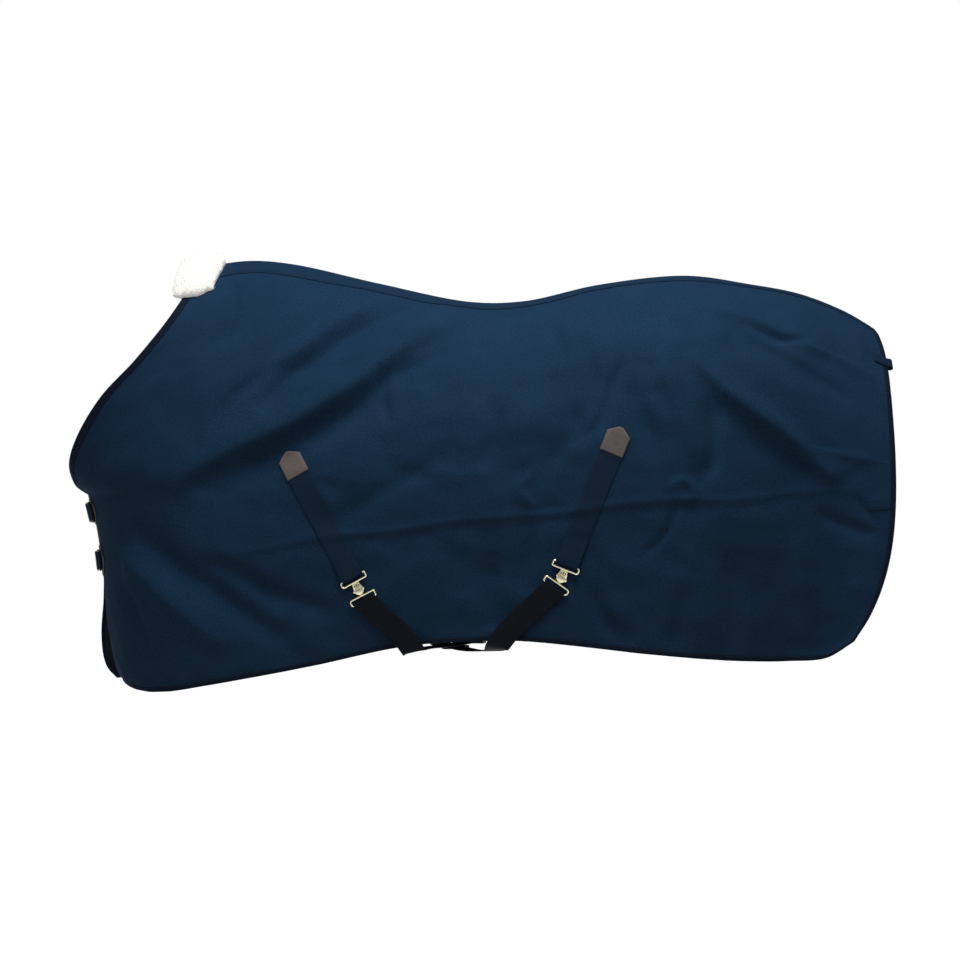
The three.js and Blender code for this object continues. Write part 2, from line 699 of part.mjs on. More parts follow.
function lowerStrap(clip, hook, run, plan) {
  const rail = LOWER_RAIL - NECK_PLACE + HIDDEN_RAIL;
  const halfWidth = STRAP_WIDTH / 2;
  const nearAcross = run.clone().cross(clip.normal).normalize();
  const railRun = hook.flat(0, 1, 0).sub(hook.flat(0, 0, 0));
  const skew = railRun.dot(run) / railRun.dot(nearAcross);
  const looped = (distance) => nearAcross.clone().multiplyScalar(halfWidth)
    .addScaledVector(run, halfWidth * skew * (1 - smooth(distance, 10, 90)));
  const stations = [];
  for (const back of [30, 12]) {
    const centre = hook.flat(rail, 0, CLIP_STAND - LOOP_REACH).addScaledVector(run, back);
    stations.push({ centre, across: looped(back) });
  }
  for (const [a, n] of turnRoundRail(rail, -1, LOOP_REACH)) {
    stations.push({ centre: hook.flat(a, 0, n), across: looped(0) });
  }
  const route = bellyRoute(clip, hook, run, plan);
  const length = route.getLength();
  const bellyRun = new THREE.Vector3().subVectors(route.getPointAt(0.75), route.getPointAt(0.45)).normalize();
  const bellyAcross = new THREE.Vector3(0, 0, 1).cross(bellyRun).normalize();
  if (bellyAcross.dot(nearAcross) < 0) {
    bellyAcross.negate();
  }
  const farAcross = new THREE.Vector3(Math.sign(bellyAcross.x), 0, 0);
  const hemShare = plan.hemDistance / length;
  const turnFrom = hemShare - HEM_TURN;
  for (let i = 0; i <= BELLY_STATIONS; i += 1) {
    const at = i / BELLY_STATIONS;
    const centre = route.getPointAt(at);
    const tangent = route.getTangentAt(at);
    const wanted = looped(8 + at * length).normalize()
      .lerp(bellyAcross, smooth(at, turnFrom, hemShare + HEM_TURN / 2))
      .lerp(farAcross, smooth(at, 0.86, 0.97));
    const across = at < turnFrom ? looped(8 + at * length)
      : wanted.addScaledVector(tangent, -wanted.dot(tangent)).setLength(halfWidth);
    stations.push({ centre, across });
  }
  return { geometry: strip(stations, STRAP), route };
}

// A two-slot slider, flat in its frame, round a strap that runs along a.
function slider() {
  const inner = STRAP / 2 + SLIDER_PLAY;
  const halfWidth = STRAP_WIDTH / 2 + 2;
  const halfLength = SLIDER_LENGTH / 2;
  const outer = inner + SLIDER_WALL;
  const body = block(-halfLength, halfLength, halfWidth + SLIDER_WALL, -outer, outer);
  const passage = block(-halfLength - 1, halfLength + 1, halfWidth, -inner, inner);
  const windows = [-1, 1].map((end) => (
    block(-3.2, 3.2, halfWidth - 1, -outer - 1, outer + 1).translate(end * 6.4, 0, 0)));
  return cut(body, [passage, ...windows]);
}

const DOWN = new THREE.Vector3(0, 0, -1);

function slanted(degrees) {
  const angle = THREE.MathUtils.degToRad(degrees);
  return new THREE.Vector3(Math.sin(angle), 0, -Math.cos(angle));
}

// The far ends: a sewn strap end on the far panel, and a leather patch over it.
function addFarEnd(word, u) {
  const frame = surfaceFrame(1, u, 0.97, DOWN);
  const hem = skin(1, u, 1, 0);
  const start = hem.clone().sub(frame.origin).dot(frame.along) + SEAM_DROP - 0.4;
  const low = BINDING_STAND + SEAT_GAP;
  const end = shapedBox(4, 1, 1, (s, t, h) => {
    const back = s * FAR_END_LENGTH + 3 * (2 * t - 1) ** 2 * (1 - s);
    return onSkin(frame, start - back, (t - 0.5) * STRAP_WIDTH, low + h * STRAP);
  });
  add(`${word}_strap_far_end`, end, blackWebbing());
  const patchLow = low + STRAP + SEAT_GAP + 0.1;
  const patch = pointedPatch(frame, start - 1, PATCH_WALL + 4, PATCH_POINT, PATCH_WIDTH + 6, patchLow,
    LEATHER);
  add(`${word}_patch_far`, patch, leather());
}

function addSurcingle(plan) {
  const { word } = plan;
  const clip = flankFrame(-1, plan.clipX, plan.clipZ, slanted(plan.slant));
  const hookDirection = slanted(plan.hookSlant);
  const hook = { ...clip };
  const neck = clip.flat(NECK_PLACE, 0, 0);
  const along = hookDirection.addScaledVector(clip.normal, -hookDirection.dot(clip.normal)).normalize();
  const matrix = new THREE.Matrix4().makeBasis(along, clip.normal.clone().cross(along), clip.normal);
  matrix.setPosition(neck);
  hook.flat = (a, b, n) => new THREE.Vector3(a, b, n).applyMatrix4(matrix);
  const run = slanted(plan.runSlant);
  run.addScaledVector(clip.normal, -run.dot(clip.normal)).normalize();
  const patchUv = uvUnder(clip, -plan.patchPlace, 0);
  const patchFrame = surfaceFrame(-1, patchUv.u, patchUv.v, slanted(plan.slant));
  const patch = pointedPatch(patchFrame, 0, PATCH_WALL, PATCH_POINT, PATCH_WIDTH,
    STRAP_STAND + STRAP + SEAT_GAP, LEATHER);
  add(`${word}_patch_near`, patch, leather());
  add(`${word}_strap_upper`, upperStrap(clip, plan.patchPlace + UNDER_PATCH), webbing());
  add(`${word}_clip_plate`, clipPlateHalf(), brass(), clip.matrix);
  add(`${word}_clip_hook`, clipHookHalf(), brass(), matrix);
  const lower = lowerStrap(clip, hook, run, plan);
  add(`${word}_strap_lower`, lower.geometry, blackWebbing());
  const place = lower.route.getPointAt(plan.sliderShare);
  const tangent = lower.route.getTangentAt(plan.sliderShare);
  const level = DOWN.clone().addScaledVector(tangent, -DOWN.dot(tangent)).normalize();
  const sliderMatrix = new THREE.Matrix4().makeBasis(tangent, level.clone().cross(tangent), level);
  add(`${word}_slider`, slider(), blackMetal(), sliderMatrix.setPosition(place));
  addFarEnd(word, plan.farU);
  const seam = lower.route.getPointAt(1);
  rug.userData[word] = { neck: neck.addScaledVector(clip.normal, CLIP_STAND), seam, place, tangent };
}

// ------------------------------------------------------------ chest closures
const CHEST_A = new THREE.Vector3(0, 1, 0);
const HEEL = -6;
const TOE = HEEL + FRAME_LENGTH - FRAME_WIRE;
const FRAME_LOOP = FRAME_WIRE / 2 + SEAT_GAP + CHAPE / 2;

// A frame at the front edge: a runs from the near to the far side, n forwards.
function chestFrame(zShare) {
  const height = zShare * RUG_DROP;
  let low = NECK_SHARE;
  let high = 1;
  for (let turn = 0; turn < 30; turn += 1) {
    const middle = (low + high) / 2;
    if (skin(-1, 0, middle, 0).z > height) {
      low = middle;
    } else {
      high = middle;
    }
  }
  const edge = skin(-1, 0, low, 0);
  const across = skin(-1, 0, low + 0.03, 0).sub(skin(-1, 0, low - 0.005, 0)).setY(0).normalize();
  const normal = CHEST_A.clone().cross(across);
  const matrix = new THREE.Matrix4().makeBasis(CHEST_A, across, normal).setPosition(edge.x, 0, edge.z);
  const flat = (a, b, n) => new THREE.Vector3(a, b, n).applyMatrix4(matrix);
  const sideFrame = (side) => ({ along: CHEST_A, across, normal, side, u: 0.03, v: low, matrix, flat });
  return { near: sideFrame(-1), far: sideFrame(1), matrix, flat };
}

// The frame of what lies across the closure, `a` from its middle.
function chestMatrix(frame, a) {
  const origin = chestPlace(frame, a, 0, 0);
  const along = chestPlace(frame, a + 7, 0, 0).sub(chestPlace(frame, a - 7, 0, 0)).normalize();
  const across = chestPlace(frame, a, 7, 0).sub(chestPlace(frame, a, -7, 0)).normalize();
  const normal = along.clone().cross(across).normalize();
  return new THREE.Matrix4().makeBasis(along, normal.clone().cross(along), normal).setPosition(origin);
}

function chestPlace(frame, a, b, n) {
  const share = smooth(Math.abs(a - 12), 34, 58);
  const flat = frame.flat(a, b, n);
  if (share === 0) {
    return flat;
  }
  return flat.lerp(onSkin(a < 0 ? frame.near : frame.far, a, b, n), share);
}

function chestStrip(frame, profile, width, thickness) {
  const stations = profile.map(([a, n]) => {
    const top = chestPlace(frame, a, width / 2, n);
    const bottom = chestPlace(frame, a, -width / 2, n);
    return between(top, bottom);
  });
  return strip(stations, thickness);
}

// The buckle's frame, with its heel bar at a = 0.
function buckleFrame() {
  const low = -FRAME_WIRE / 2;
  return wireLoop(low, low + FRAME_LENGTH, CHEST_STRAP_WIDTH / 2 + 4.5, 2, 7, FRAME_WIRE);
}

// The tongue: an eye round the heel bar, and a blade that rests on the toe of the frame.
function buckleTongue() {
  const eye = new THREE.Shape();
  eye.absarc(0, 0, FRAME_WIRE / 2 + TONGUE_PLAY + TONGUE_EYE, 0, 2 * Math.PI, false);
  const hole = new THREE.Path();
  hole.absarc(0, 0, FRAME_WIRE / 2 + TONGUE_PLAY, 0, 2 * Math.PI, true);
  eye.holes.push(hole);
  const width = 5;
  const ring = new THREE.ExtrudeGeometry(eye, { depth: width, curveSegments: 8, bevelEnabled: false });
  ring.translate(0, 0, -width / 2).rotateX(Math.PI / 2);
  const tip = FRAME_LENGTH - FRAME_WIRE + 2.6;
  const rest = FRAME_WIRE / 2 + SEAT_GAP;
  const side = new THREE.Shape([[2.9, 0.4], [tip - 12, rest - 0.1], [tip, rest], [tip, rest + 1.6],
    [tip - 12, rest + TONGUE], [3.2, rest + 0.8]].map(([a, n]) => new THREE.Vector2(a, n)));
  const blade = new THREE.ExtrudeGeometry(side, { depth: width, bevelEnabled: false });
  blade.rotateX(Math.PI / 2).translate(0, width / 2, 0);
  return joined(ring, [blade]);
}

function keeper(lowN, highN) {
  const half = CHEST_STRAP_WIDTH / 2 + 1.5;
  const body = block(-KEEPER_WIDTH / 2, KEEPER_WIDTH / 2, half + KEEPER_WALL, lowN, highN);
  return cut(body, [block(-KEEPER_WIDTH, KEEPER_WIDTH, half, lowN + KEEPER_WALL, highN - KEEPER_WALL)]);
}

function addChestClosure(word, zShare, patchHeight) {
  const frame = chestFrame(zShare);
  for (const [side, name] of [[-1, 'near'], [1, 'far']]) {
    const patch = shapedBox(6, 4, 1, (s, t, h) => {
      const out = 15 + s * CHEST_PATCH_LENGTH;
      const narrow = s < 0.7 ? 1 : 1 - 0.8 * (s - 0.7) / 0.3;
      const b = (t - 0.5) * patchHeight * narrow;
      return onSkin(frame[name], side * out, b, CHEST_PATCH_STAND + h * CHEST_LEATHER);
    });
    add(`${word}_chest_patch_${name}`, patch, leather());
  }
  const behind = FRAME_STAND - FRAME_LOOP;
  const overBack = behind + CHAPE + SEAT_GAP;
  const chapeFront = (back) => mix(FRAME_STAND + FRAME_LOOP, overBack, smooth(back, 4, 30));
  const turn = [];
  for (let i = 0; i <= 8; i += 1) {
    const angle = Math.PI * i / 8;
    turn.push([HEEL + Math.sin(angle) * FRAME_LOOP, FRAME_STAND - Math.cos(angle) * FRAME_LOOP]);
  }
  const backs = [8, 14, 20, 26, 33, 41, 50, 60];
  const front = backs.map((back) => [HEEL - back, chapeFront(back)]);
  const backLayer = backs.toReversed().map((back) => [HEEL - back, behind]);
  const chape = chestStrip(frame, [...backLayer, ...turn, ...front], CHEST_STRAP_WIDTH, CHAPE);
  const notch = block(HEEL - FRAME_WIRE - 6, HEEL + FRAME_WIRE + 6, 4.2, 0, FRAME_STAND * 3)
    .applyMatrix4(frame.matrix);
  add(`${word}_chest_chape`, cut(chape, [notch]), blackWebbing());

  const onTop = CHAPE / 2 + SEAT_GAP + STRAP / 2;
  const over = FRAME_STAND + FRAME_LOOP + onTop;
  const under = FRAME_STAND - FRAME_WIRE / 2 - 0.6 - STRAP / 2;
  const farStand = CHEST_PATCH_STAND + CHEST_LEATHER + SEAT_GAP + STRAP / 2;
  const billetProfile = backs.toReversed().map((back) => [HEEL - back, chapeFront(back) + onTop]);
  billetProfile.push([HEEL - 3, over], [HEEL + 3, over]);
  for (const a of [7, 14, 21, 28, 33, 38, 44, 52, 60, 68]) {
    const rise = mix(over, under, smooth(a, HEEL + 5, TOE - 5));
    billetProfile.push([a, mix(rise, farStand, smooth(a, 44, 58))]);
  }
  const billet = chestStrip(frame, billetProfile, CHEST_STRAP_WIDTH, STRAP);
  const hole = block(HEEL + 2, HEEL + 31, 4, 0, FRAME_STAND * 3).applyMatrix4(frame.matrix);
  add(`${word}_chest_billet`, cut(billet, [hole]), leather());

  const heel = new THREE.Matrix4().makeTranslation(HEEL, 0, FRAME_STAND).premultiply(frame.matrix);
  add(`${word}_buckle_frame`, buckleFrame(), brass(), heel);
  add(`${word}_buckle_tongue`, buckleTongue(), brass(), heel);
  const keeperLow = behind - CHAPE / 2 - SEAT_GAP - KEEPER_WALL;
  const keeperHigh = overBack + onTop + STRAP / 2 + 0.9 + KEEPER_WALL;
  const keeperMatrix = chestMatrix(frame, HEEL - KEEPER_PLACE);
  add(`${word}_chest_keeper`, keeper(keeperLow, keeperHigh), leather(), keeperMatrix);
  const keeperFront = chestPlace(frame, HEEL - KEEPER_PLACE + KEEPER_WIDTH / 2, 0, behind);
  const keeperBack = chestPlace(frame, HEEL - KEEPER_PLACE - KEEPER_WIDTH / 2, 0, behind);
  rug.userData[`${word}_chest`] = {
    heel: frame.flat(HEEL, 0, FRAME_STAND),
    across: frame.flat(0, 1, 0).sub(frame.flat(0, 0, 0)),
    slide: keeperFront.sub(keeperBack).normalize(),
  };
}

// ------------------------------------------------------------- rear fittings
const INSIDE = -(CANVAS + LAYER_GAP + LINING);

function addLegStrapFitting(side, word) {
  const frame = flankFrame(side, 0.466, -0.43, DOWN);
  const patch = shapedBox(5, 3, 1, (s, t, h) => {
    const v = frame.v + (s - 0.5) * LEG_PATCH_HEIGHT / SKIN_ACROSS;
    const edge = 1 - edgeBand - 3 * seatAlong;
    return skin(side, edge - (1 - t) * LEG_PATCH_LENGTH / SKIN_ALONG, v, LEG_PATCH_STAND + h * LEG_PATCH);
  });
  add(`leg_patch_${word}`, patch, canvasCloth());

  const barStand = INSIDE - SEAT_GAP - CHAPE - SEAT_GAP - D_RING_THICKNESS / 2;
  const ringStand = barStand - RING_PLAY;
  const reach = Math.hypot(D_RING_BAR, D_RING_THICKNESS) / 2 + SEAT_GAP + CHAPE / 2;
  const profile = [];
  for (const a of [-30, -20, -10]) {
    profile.push([a, barStand + reach]);
  }
  for (let i = 0; i <= 6; i += 1) {
    const angle = Math.PI * i / 6;
    profile.push([Math.sin(angle) * reach, barStand + Math.cos(angle) * reach]);
  }
  for (const a of [-10, -20, -30]) {
    profile.push([a, barStand - reach + (a < -10 ? 1.6 : 0)]);
  }
  const halfTab = frame.across.clone().multiplyScalar(TAB_WIDTH / 2);
  const tab = profile.map(([a, n]) => ({ centre: frame.flat(a, 0, n - RING_PLAY), across: halfTab }));
  add(`leg_strap_tab_${word}`, strip(tab, CHAPE), blackWebbing());

  const shape = new THREE.Shape();
  const half = D_RING_WIDTH / 2;
  const dee = (inset) => {
    const outline = inset === 0 ? shape : new THREE.Path();
    outline.moveTo(-D_RING_BAR / 2 + inset, -half + inset);
    outline.lineTo(D_RING_HEIGHT - half, -half + inset);
    outline.absarc(D_RING_HEIGHT - half, 0, half - inset, -Math.PI / 2, Math.PI / 2, false);
    outline.lineTo(-D_RING_BAR / 2 + inset, half - inset);
    outline.lineTo(-D_RING_BAR / 2 + inset, -half + inset);
    return outline;
  };
  dee(0);
  shape.holes.push(dee(D_RING_BAR));
  const flatRing = { depth: D_RING_THICKNESS, curveSegments: 7, bevelEnabled: false };
  const ring = new THREE.ExtrudeGeometry(shape, flatRing);
  ring.translate(0, 0, -D_RING_THICKNESS / 2);
  const place = new THREE.Matrix4().makeTranslation(0, 0, ringStand).premultiply(frame.matrix);
  add(`leg_strap_ring_${word}`, ring, brass(), place);
  rug.userData[`ring_${word}`] = {
    pivot: frame.flat(0, 0, ringStand),
    axis: frame.across,
    normal: frame.normal,
    face: frame.flat(D_RING_HEIGHT - D_RING_BAR / 2, 0, ringStand - D_RING_THICKNESS / 2),
  };
}

// A loop of webbing round the rear edge, for a tail cord.
function addTailLoop(side, word) {
  const v = 0.2;
  const edge = surfaceFrame(side, 1, v, new THREE.Vector3(1, 0, 0));
  const high = BINDING_STAND + TAIL_LOOP_PLAY + CHAPE / 2;
  const low = INSIDE - BINDING_STAND - TAIL_LOOP_PLAY - CHAPE / 2;
  const middle = (high + low) / 2;
  const radius = (high - low) / 2;
  const profile = [[-34, high], [-22, high], [-11, high], [0, high]];
  for (let i = 0; i <= 6; i += 1) {
    const angle = Math.PI * i / 6;
    profile.push([TAIL_LOOP_REACH - radius + Math.sin(angle) * radius, middle + Math.cos(angle) * radius]);
  }
  profile.push([0, low], [-11, low], [-22, low], [-34, low]);
  const across = edge.across.clone().multiplyScalar(TAB_WIDTH / 2);
  const loop = profile.map(([a, n]) => (
    { centre: a < 0 ? skin(side, 1 + a / SKIN_ALONG, v, n) : edge.flat(a, 0, n), across }));
  add(`tail_loop_${word}`, strip(loop, CHAPE), blackWebbing());
}

// --------------------------------------------------------------- the object
addCloth();
addSpineTape();
addFleece();
addSurcingle({
  word: 'front', clipX: -0.148, clipZ: -0.6515, slant: 29, hookSlant: 27.5, runSlant: 45, patchPlace: 264,
  nearU: 0.474, farU: 0.571, nearZ: -764, middleZ: -767, farZ: -768,
  drift: 1, hemDistance: 150, sliderShare: 0.75,
});
addSurcingle({
  word: 'rear', clipX: 0.1, clipZ: -0.6215, slant: -21.8, hookSlant: -35, runSlant: -45, patchPlace: 269,
  nearU: 0.574, farU: 0.502, nearZ: -764, middleZ: -780, farZ: -783,
  drift: -1, hemDistance: 178, sliderShare: 0.77,
});
addChestClosure('upper', -0.494, 58);
addChestClosure('lower', -0.608, 70);
for (const [side, word] of [[-1, 'near'], [1, 'far']]) {
  addLegStrapFitting(side, word);
  addTailLoop(side, word);
}

export default rug;
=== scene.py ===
"""A horse's turnout rug: its looks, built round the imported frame."""
import logging
import math
from collections.abc import Callable
from dataclasses import dataclass
from enum import Enum

import bmesh
import bpy
import numpy as np
from mathutils import Matrix, Vector


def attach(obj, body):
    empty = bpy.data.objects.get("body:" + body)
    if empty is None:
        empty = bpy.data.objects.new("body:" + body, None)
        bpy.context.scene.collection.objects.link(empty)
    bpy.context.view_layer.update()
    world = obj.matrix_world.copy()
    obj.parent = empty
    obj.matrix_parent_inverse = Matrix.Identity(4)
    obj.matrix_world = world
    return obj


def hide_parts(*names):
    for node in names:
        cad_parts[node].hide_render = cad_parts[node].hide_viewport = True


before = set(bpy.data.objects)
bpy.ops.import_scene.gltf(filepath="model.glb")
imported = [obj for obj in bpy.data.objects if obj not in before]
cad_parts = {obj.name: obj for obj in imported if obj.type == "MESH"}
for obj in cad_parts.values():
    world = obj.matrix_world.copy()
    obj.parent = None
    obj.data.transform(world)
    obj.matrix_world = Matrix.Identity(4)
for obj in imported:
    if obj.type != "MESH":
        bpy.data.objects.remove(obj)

log = logging.getLogger("turnout_rug")
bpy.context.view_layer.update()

MM = 0.001
Array = np.ndarray
Placing = Callable[[Array, Array], Array]

# Overall sizes of the shaped rug, in millimetres
RUG_LENGTH = 1820.0
RUG_DROP = 950.0
HALF_WIDTH = 305.0
SKIN_ACROSS = 900.0
SKIN_ALONG = 1720.0
NECK_ALONG = 1050.0
NECK_SHARE = 0.6
CHEST_TURN = 0.16
CHEST_ROW = CHEST_TURN * math.pi / 2 / (1 - CHEST_TURN + CHEST_TURN * math.pi / 2)
FAR_FLAP_LEAD = 34.0
STEP = 1e-4

# Cloth
CANVAS = 1.6
LINING = 4.0
LAYER_GAP = 0.4
BINDING_WIDTH = 10.0
NECK_BINDING_WIDTH = 18.0
BINDING_STAND = 0.8
SEAT_GAP = 0.3
INSIDE = -(CANVAS + LAYER_GAP + LINING)

# Webbing and leather
STRAP_WIDTH = 50.0
STRAP = 1.8
STRAP_STAND = 0.7
CHAPE = 1.5
LEATHER = 2.0
PATCH_WIDTH = 52.0
PATCH_WALL = 44.0
PATCH_POINT = 16.0
WIRE = 4.2
RING_WIDTH = 63.0
RING_DEPTH = 16.2
CLIP_STAND = 6.5
PLATE = 2.0
NECK_PLACE = 20.0
LOWER_RAIL = 33.0
LOOP_REACH = WIRE / 2 + SEAT_GAP + STRAP / 2
HIDDEN_RAIL = RING_DEPTH - WIRE
SEAM_DROP = 10.0
SEAM_STAND = BINDING_STAND + SEAT_GAP + STRAP / 2

DOWN = np.array([0.0, 0.0, -1.0])


class Side(Enum):
    """The two sides of the rug, as the sign of their y."""

    NEAR = -1
    FAR = 1

    @property
    def word(self) -> str:
        """The side's name in the names of its pieces."""
        return self.name.lower()


def mix(low: Array | float, high: Array | float, share: Array | float) -> Array | float:
    """Goes from low to high as share goes from 0 to 1."""
    return low + (high - low) * share


def smooth(value: Array | float, low: float, high: float) -> Array:
    """A smooth step from 0 at low to 1 at high."""
    share = np.clip((np.asarray(value, float) - low) / (high - low), 0, 1)
    return share * share * (3 - 2 * share)


def unit(vectors: Array) -> Array:
    """Vectors made one long."""
    return vectors / np.maximum(np.linalg.norm(vectors, axis=-1, keepdims=True), 1e-12)


class SmoothCurve:
    """A centripetal curve through points, measured along its length."""

    def __init__(self, points: list) -> None:
        """Keeps the points and the lengths of 200 short steps.

        Args:
            points: the places that the curve goes through.
        """
        self.points = np.array(points, float)
        self.steps = np.linspace(0, 1, 201)
        gaps = np.linalg.norm(np.diff(self.at(self.steps), axis=0), axis=1)
        self.lengths = np.concatenate([[0.0], np.cumsum(gaps)])

    @property
    def length(self) -> float:
        """The whole length."""
        return float(self.lengths[-1])

    def at(self, share: Array) -> Array:
        """Places at shares of the points' count.

        Args:
            share: values from 0 to 1.

        Returns:
            One row for each value.
        """
        points = self.points
        last = len(points) - 1
        spot = last * np.atleast_1d(np.asarray(share, float))
        index = np.clip(np.floor(spot).astype(int), 0, last - 1)
        part = (spot - index)[:, None]
        ends = np.vstack([2 * points[0] - points[1], points, 2 * points[-1] - points[-2]])
        p0, p1, p2, p3 = (ends[index + k] for k in range(4))
        gap = [np.sum((b - a) ** 2, axis=1) ** 0.25 for a, b in ((p0, p1), (p1, p2), (p2, p3))]
        d1 = np.where(gap[1] < 1e-4, 1.0, gap[1])[:, None]
        d0 = np.where(gap[0] < 1e-4, d1[:, 0], gap[0])[:, None]
        d2 = np.where(gap[2] < 1e-4, d1[:, 0], gap[2])[:, None]
        leave = ((p1 - p0) / d0 - (p2 - p0) / (d0 + d1) + (p2 - p1) / d1) * d1
        arrive = ((p2 - p1) / d1 - (p3 - p1) / (d1 + d2) + (p3 - p2) / d2) * d1
        square = -3 * p1 + 3 * p2 - 2 * leave - arrive
        cube = 2 * p1 - 2 * p2 + leave + arrive
        return p1 + leave * part + square * part ** 2 + cube * part ** 3

    def _count_share(self, share: Array) -> Array:
        """The share of the points' count at a share of the length."""
        return np.interp(np.atleast_1d(share) * self.lengths[-1], self.lengths, self.steps)

    def along(self, share: Array) -> Array:
        """Places at shares of the length."""
        return self.at(self._count_share(share))

    def heading(self, share: Array) -> Array:
        """Directions of travel at shares of the length."""
        spot = self._count_share(share)
        return unit(self.at(np.minimum(spot + STEP, 1)) - self.at(np.maximum(spot - STEP, 0)))


def outline(points: list) -> SmoothCurve:
    """A curve from shares of the length, the half-width and the drop."""
    return SmoothCurve([(x * RUG_LENGTH, -y * HALF_WIDTH, z * RUG_DROP) for x, y, z in points])


class Noise:
    """Smooth seeded noise on a plane, from -1 to 1."""

    def __init__(self, seed: int, cells: int = 64) -> None:
        """Draws the lattice.

        Args:
            seed: the seed of the draw.
            cells: how many cells the lattice has before it repeats.
        """
        self.cells = cells
        self.lattice = np.random.default_rng(seed).uniform(-1, 1, (cells, cells))

    def at(self, x: Array, y: Array, size: float) -> Array:
        """The noise at places.

        Args:
            x: first coordinates.
            y: second coordinates.
            size: the size of a cell.

        Returns:
            One value for each place.
        """
        sx, sy = x / size, y / size
        ix, iy = np.floor(sx).astype(int), np.floor(sy).astype(int)
        fx, fy = smooth(sx - ix, 0, 1), smooth(sy - iy, 0, 1)
        pick = lambda i, j: self.lattice[(ix + i) % self.cells, (iy + j) % self.cells]
        return mix(mix(pick(0, 0), pick(1, 0), fx), mix(pick(0, 1), pick(1, 1), fx), fy)


@dataclass(frozen=True)
class Fold:
    """A ridge or a valley in the cloth.

    Args:
        path: places (x, z) in millimetres on the flank.
        height: how far it stands out; a valley is negative.
        upper: its softness on the left of its path.
        lower: its softness on the right of its path.
    """

    path: tuple
    height: float
    upper: float
    lower: float

    def lift(self, x: Array, z: Array) -> Array:
        """How far the fold lifts the cloth at places.

        Args:
            x: places along the rug.
            z: places up the rug.

        Returns:
            One lift for each place, in millimetres.
        """
        curve = SmoothCurve([(px, pz, 0.0) for px, pz in self.path])
        count = 10 * (len(self.path) - 1)
        line = curve.at(np.linspace(0, 1, count + 1))[:, :2]
        nearest = np.full(x.shape, np.inf)
        signed = np.zeros(x.shape)
        where = np.zeros(x.shape)
        for k in range(count):
            start, run = line[k], line[k + 1] - line[k]
            dx, dz = x - start[0], z - start[1]
            part = np.clip((dx * run[0] + dz * run[1]) / (run @ run), 0, 1)
            ox, oz = dx - part * run[0], dz - part * run[1]
            gap = np.hypot(ox, oz)
            closer = gap < nearest
            nearest = np.where(closer, gap, nearest)
            signed = np.where(closer, np.sign(run[0] * oz - run[1] * ox), signed)
            where = np.where(closer, (k + part) / count, where)
        width = np.where(signed > 0, self.upper, self.lower)
        ends = 1 - np.abs(2 * where - 1) ** 3
        return self.height * ends * np.exp(-(nearest / width) ** 2)


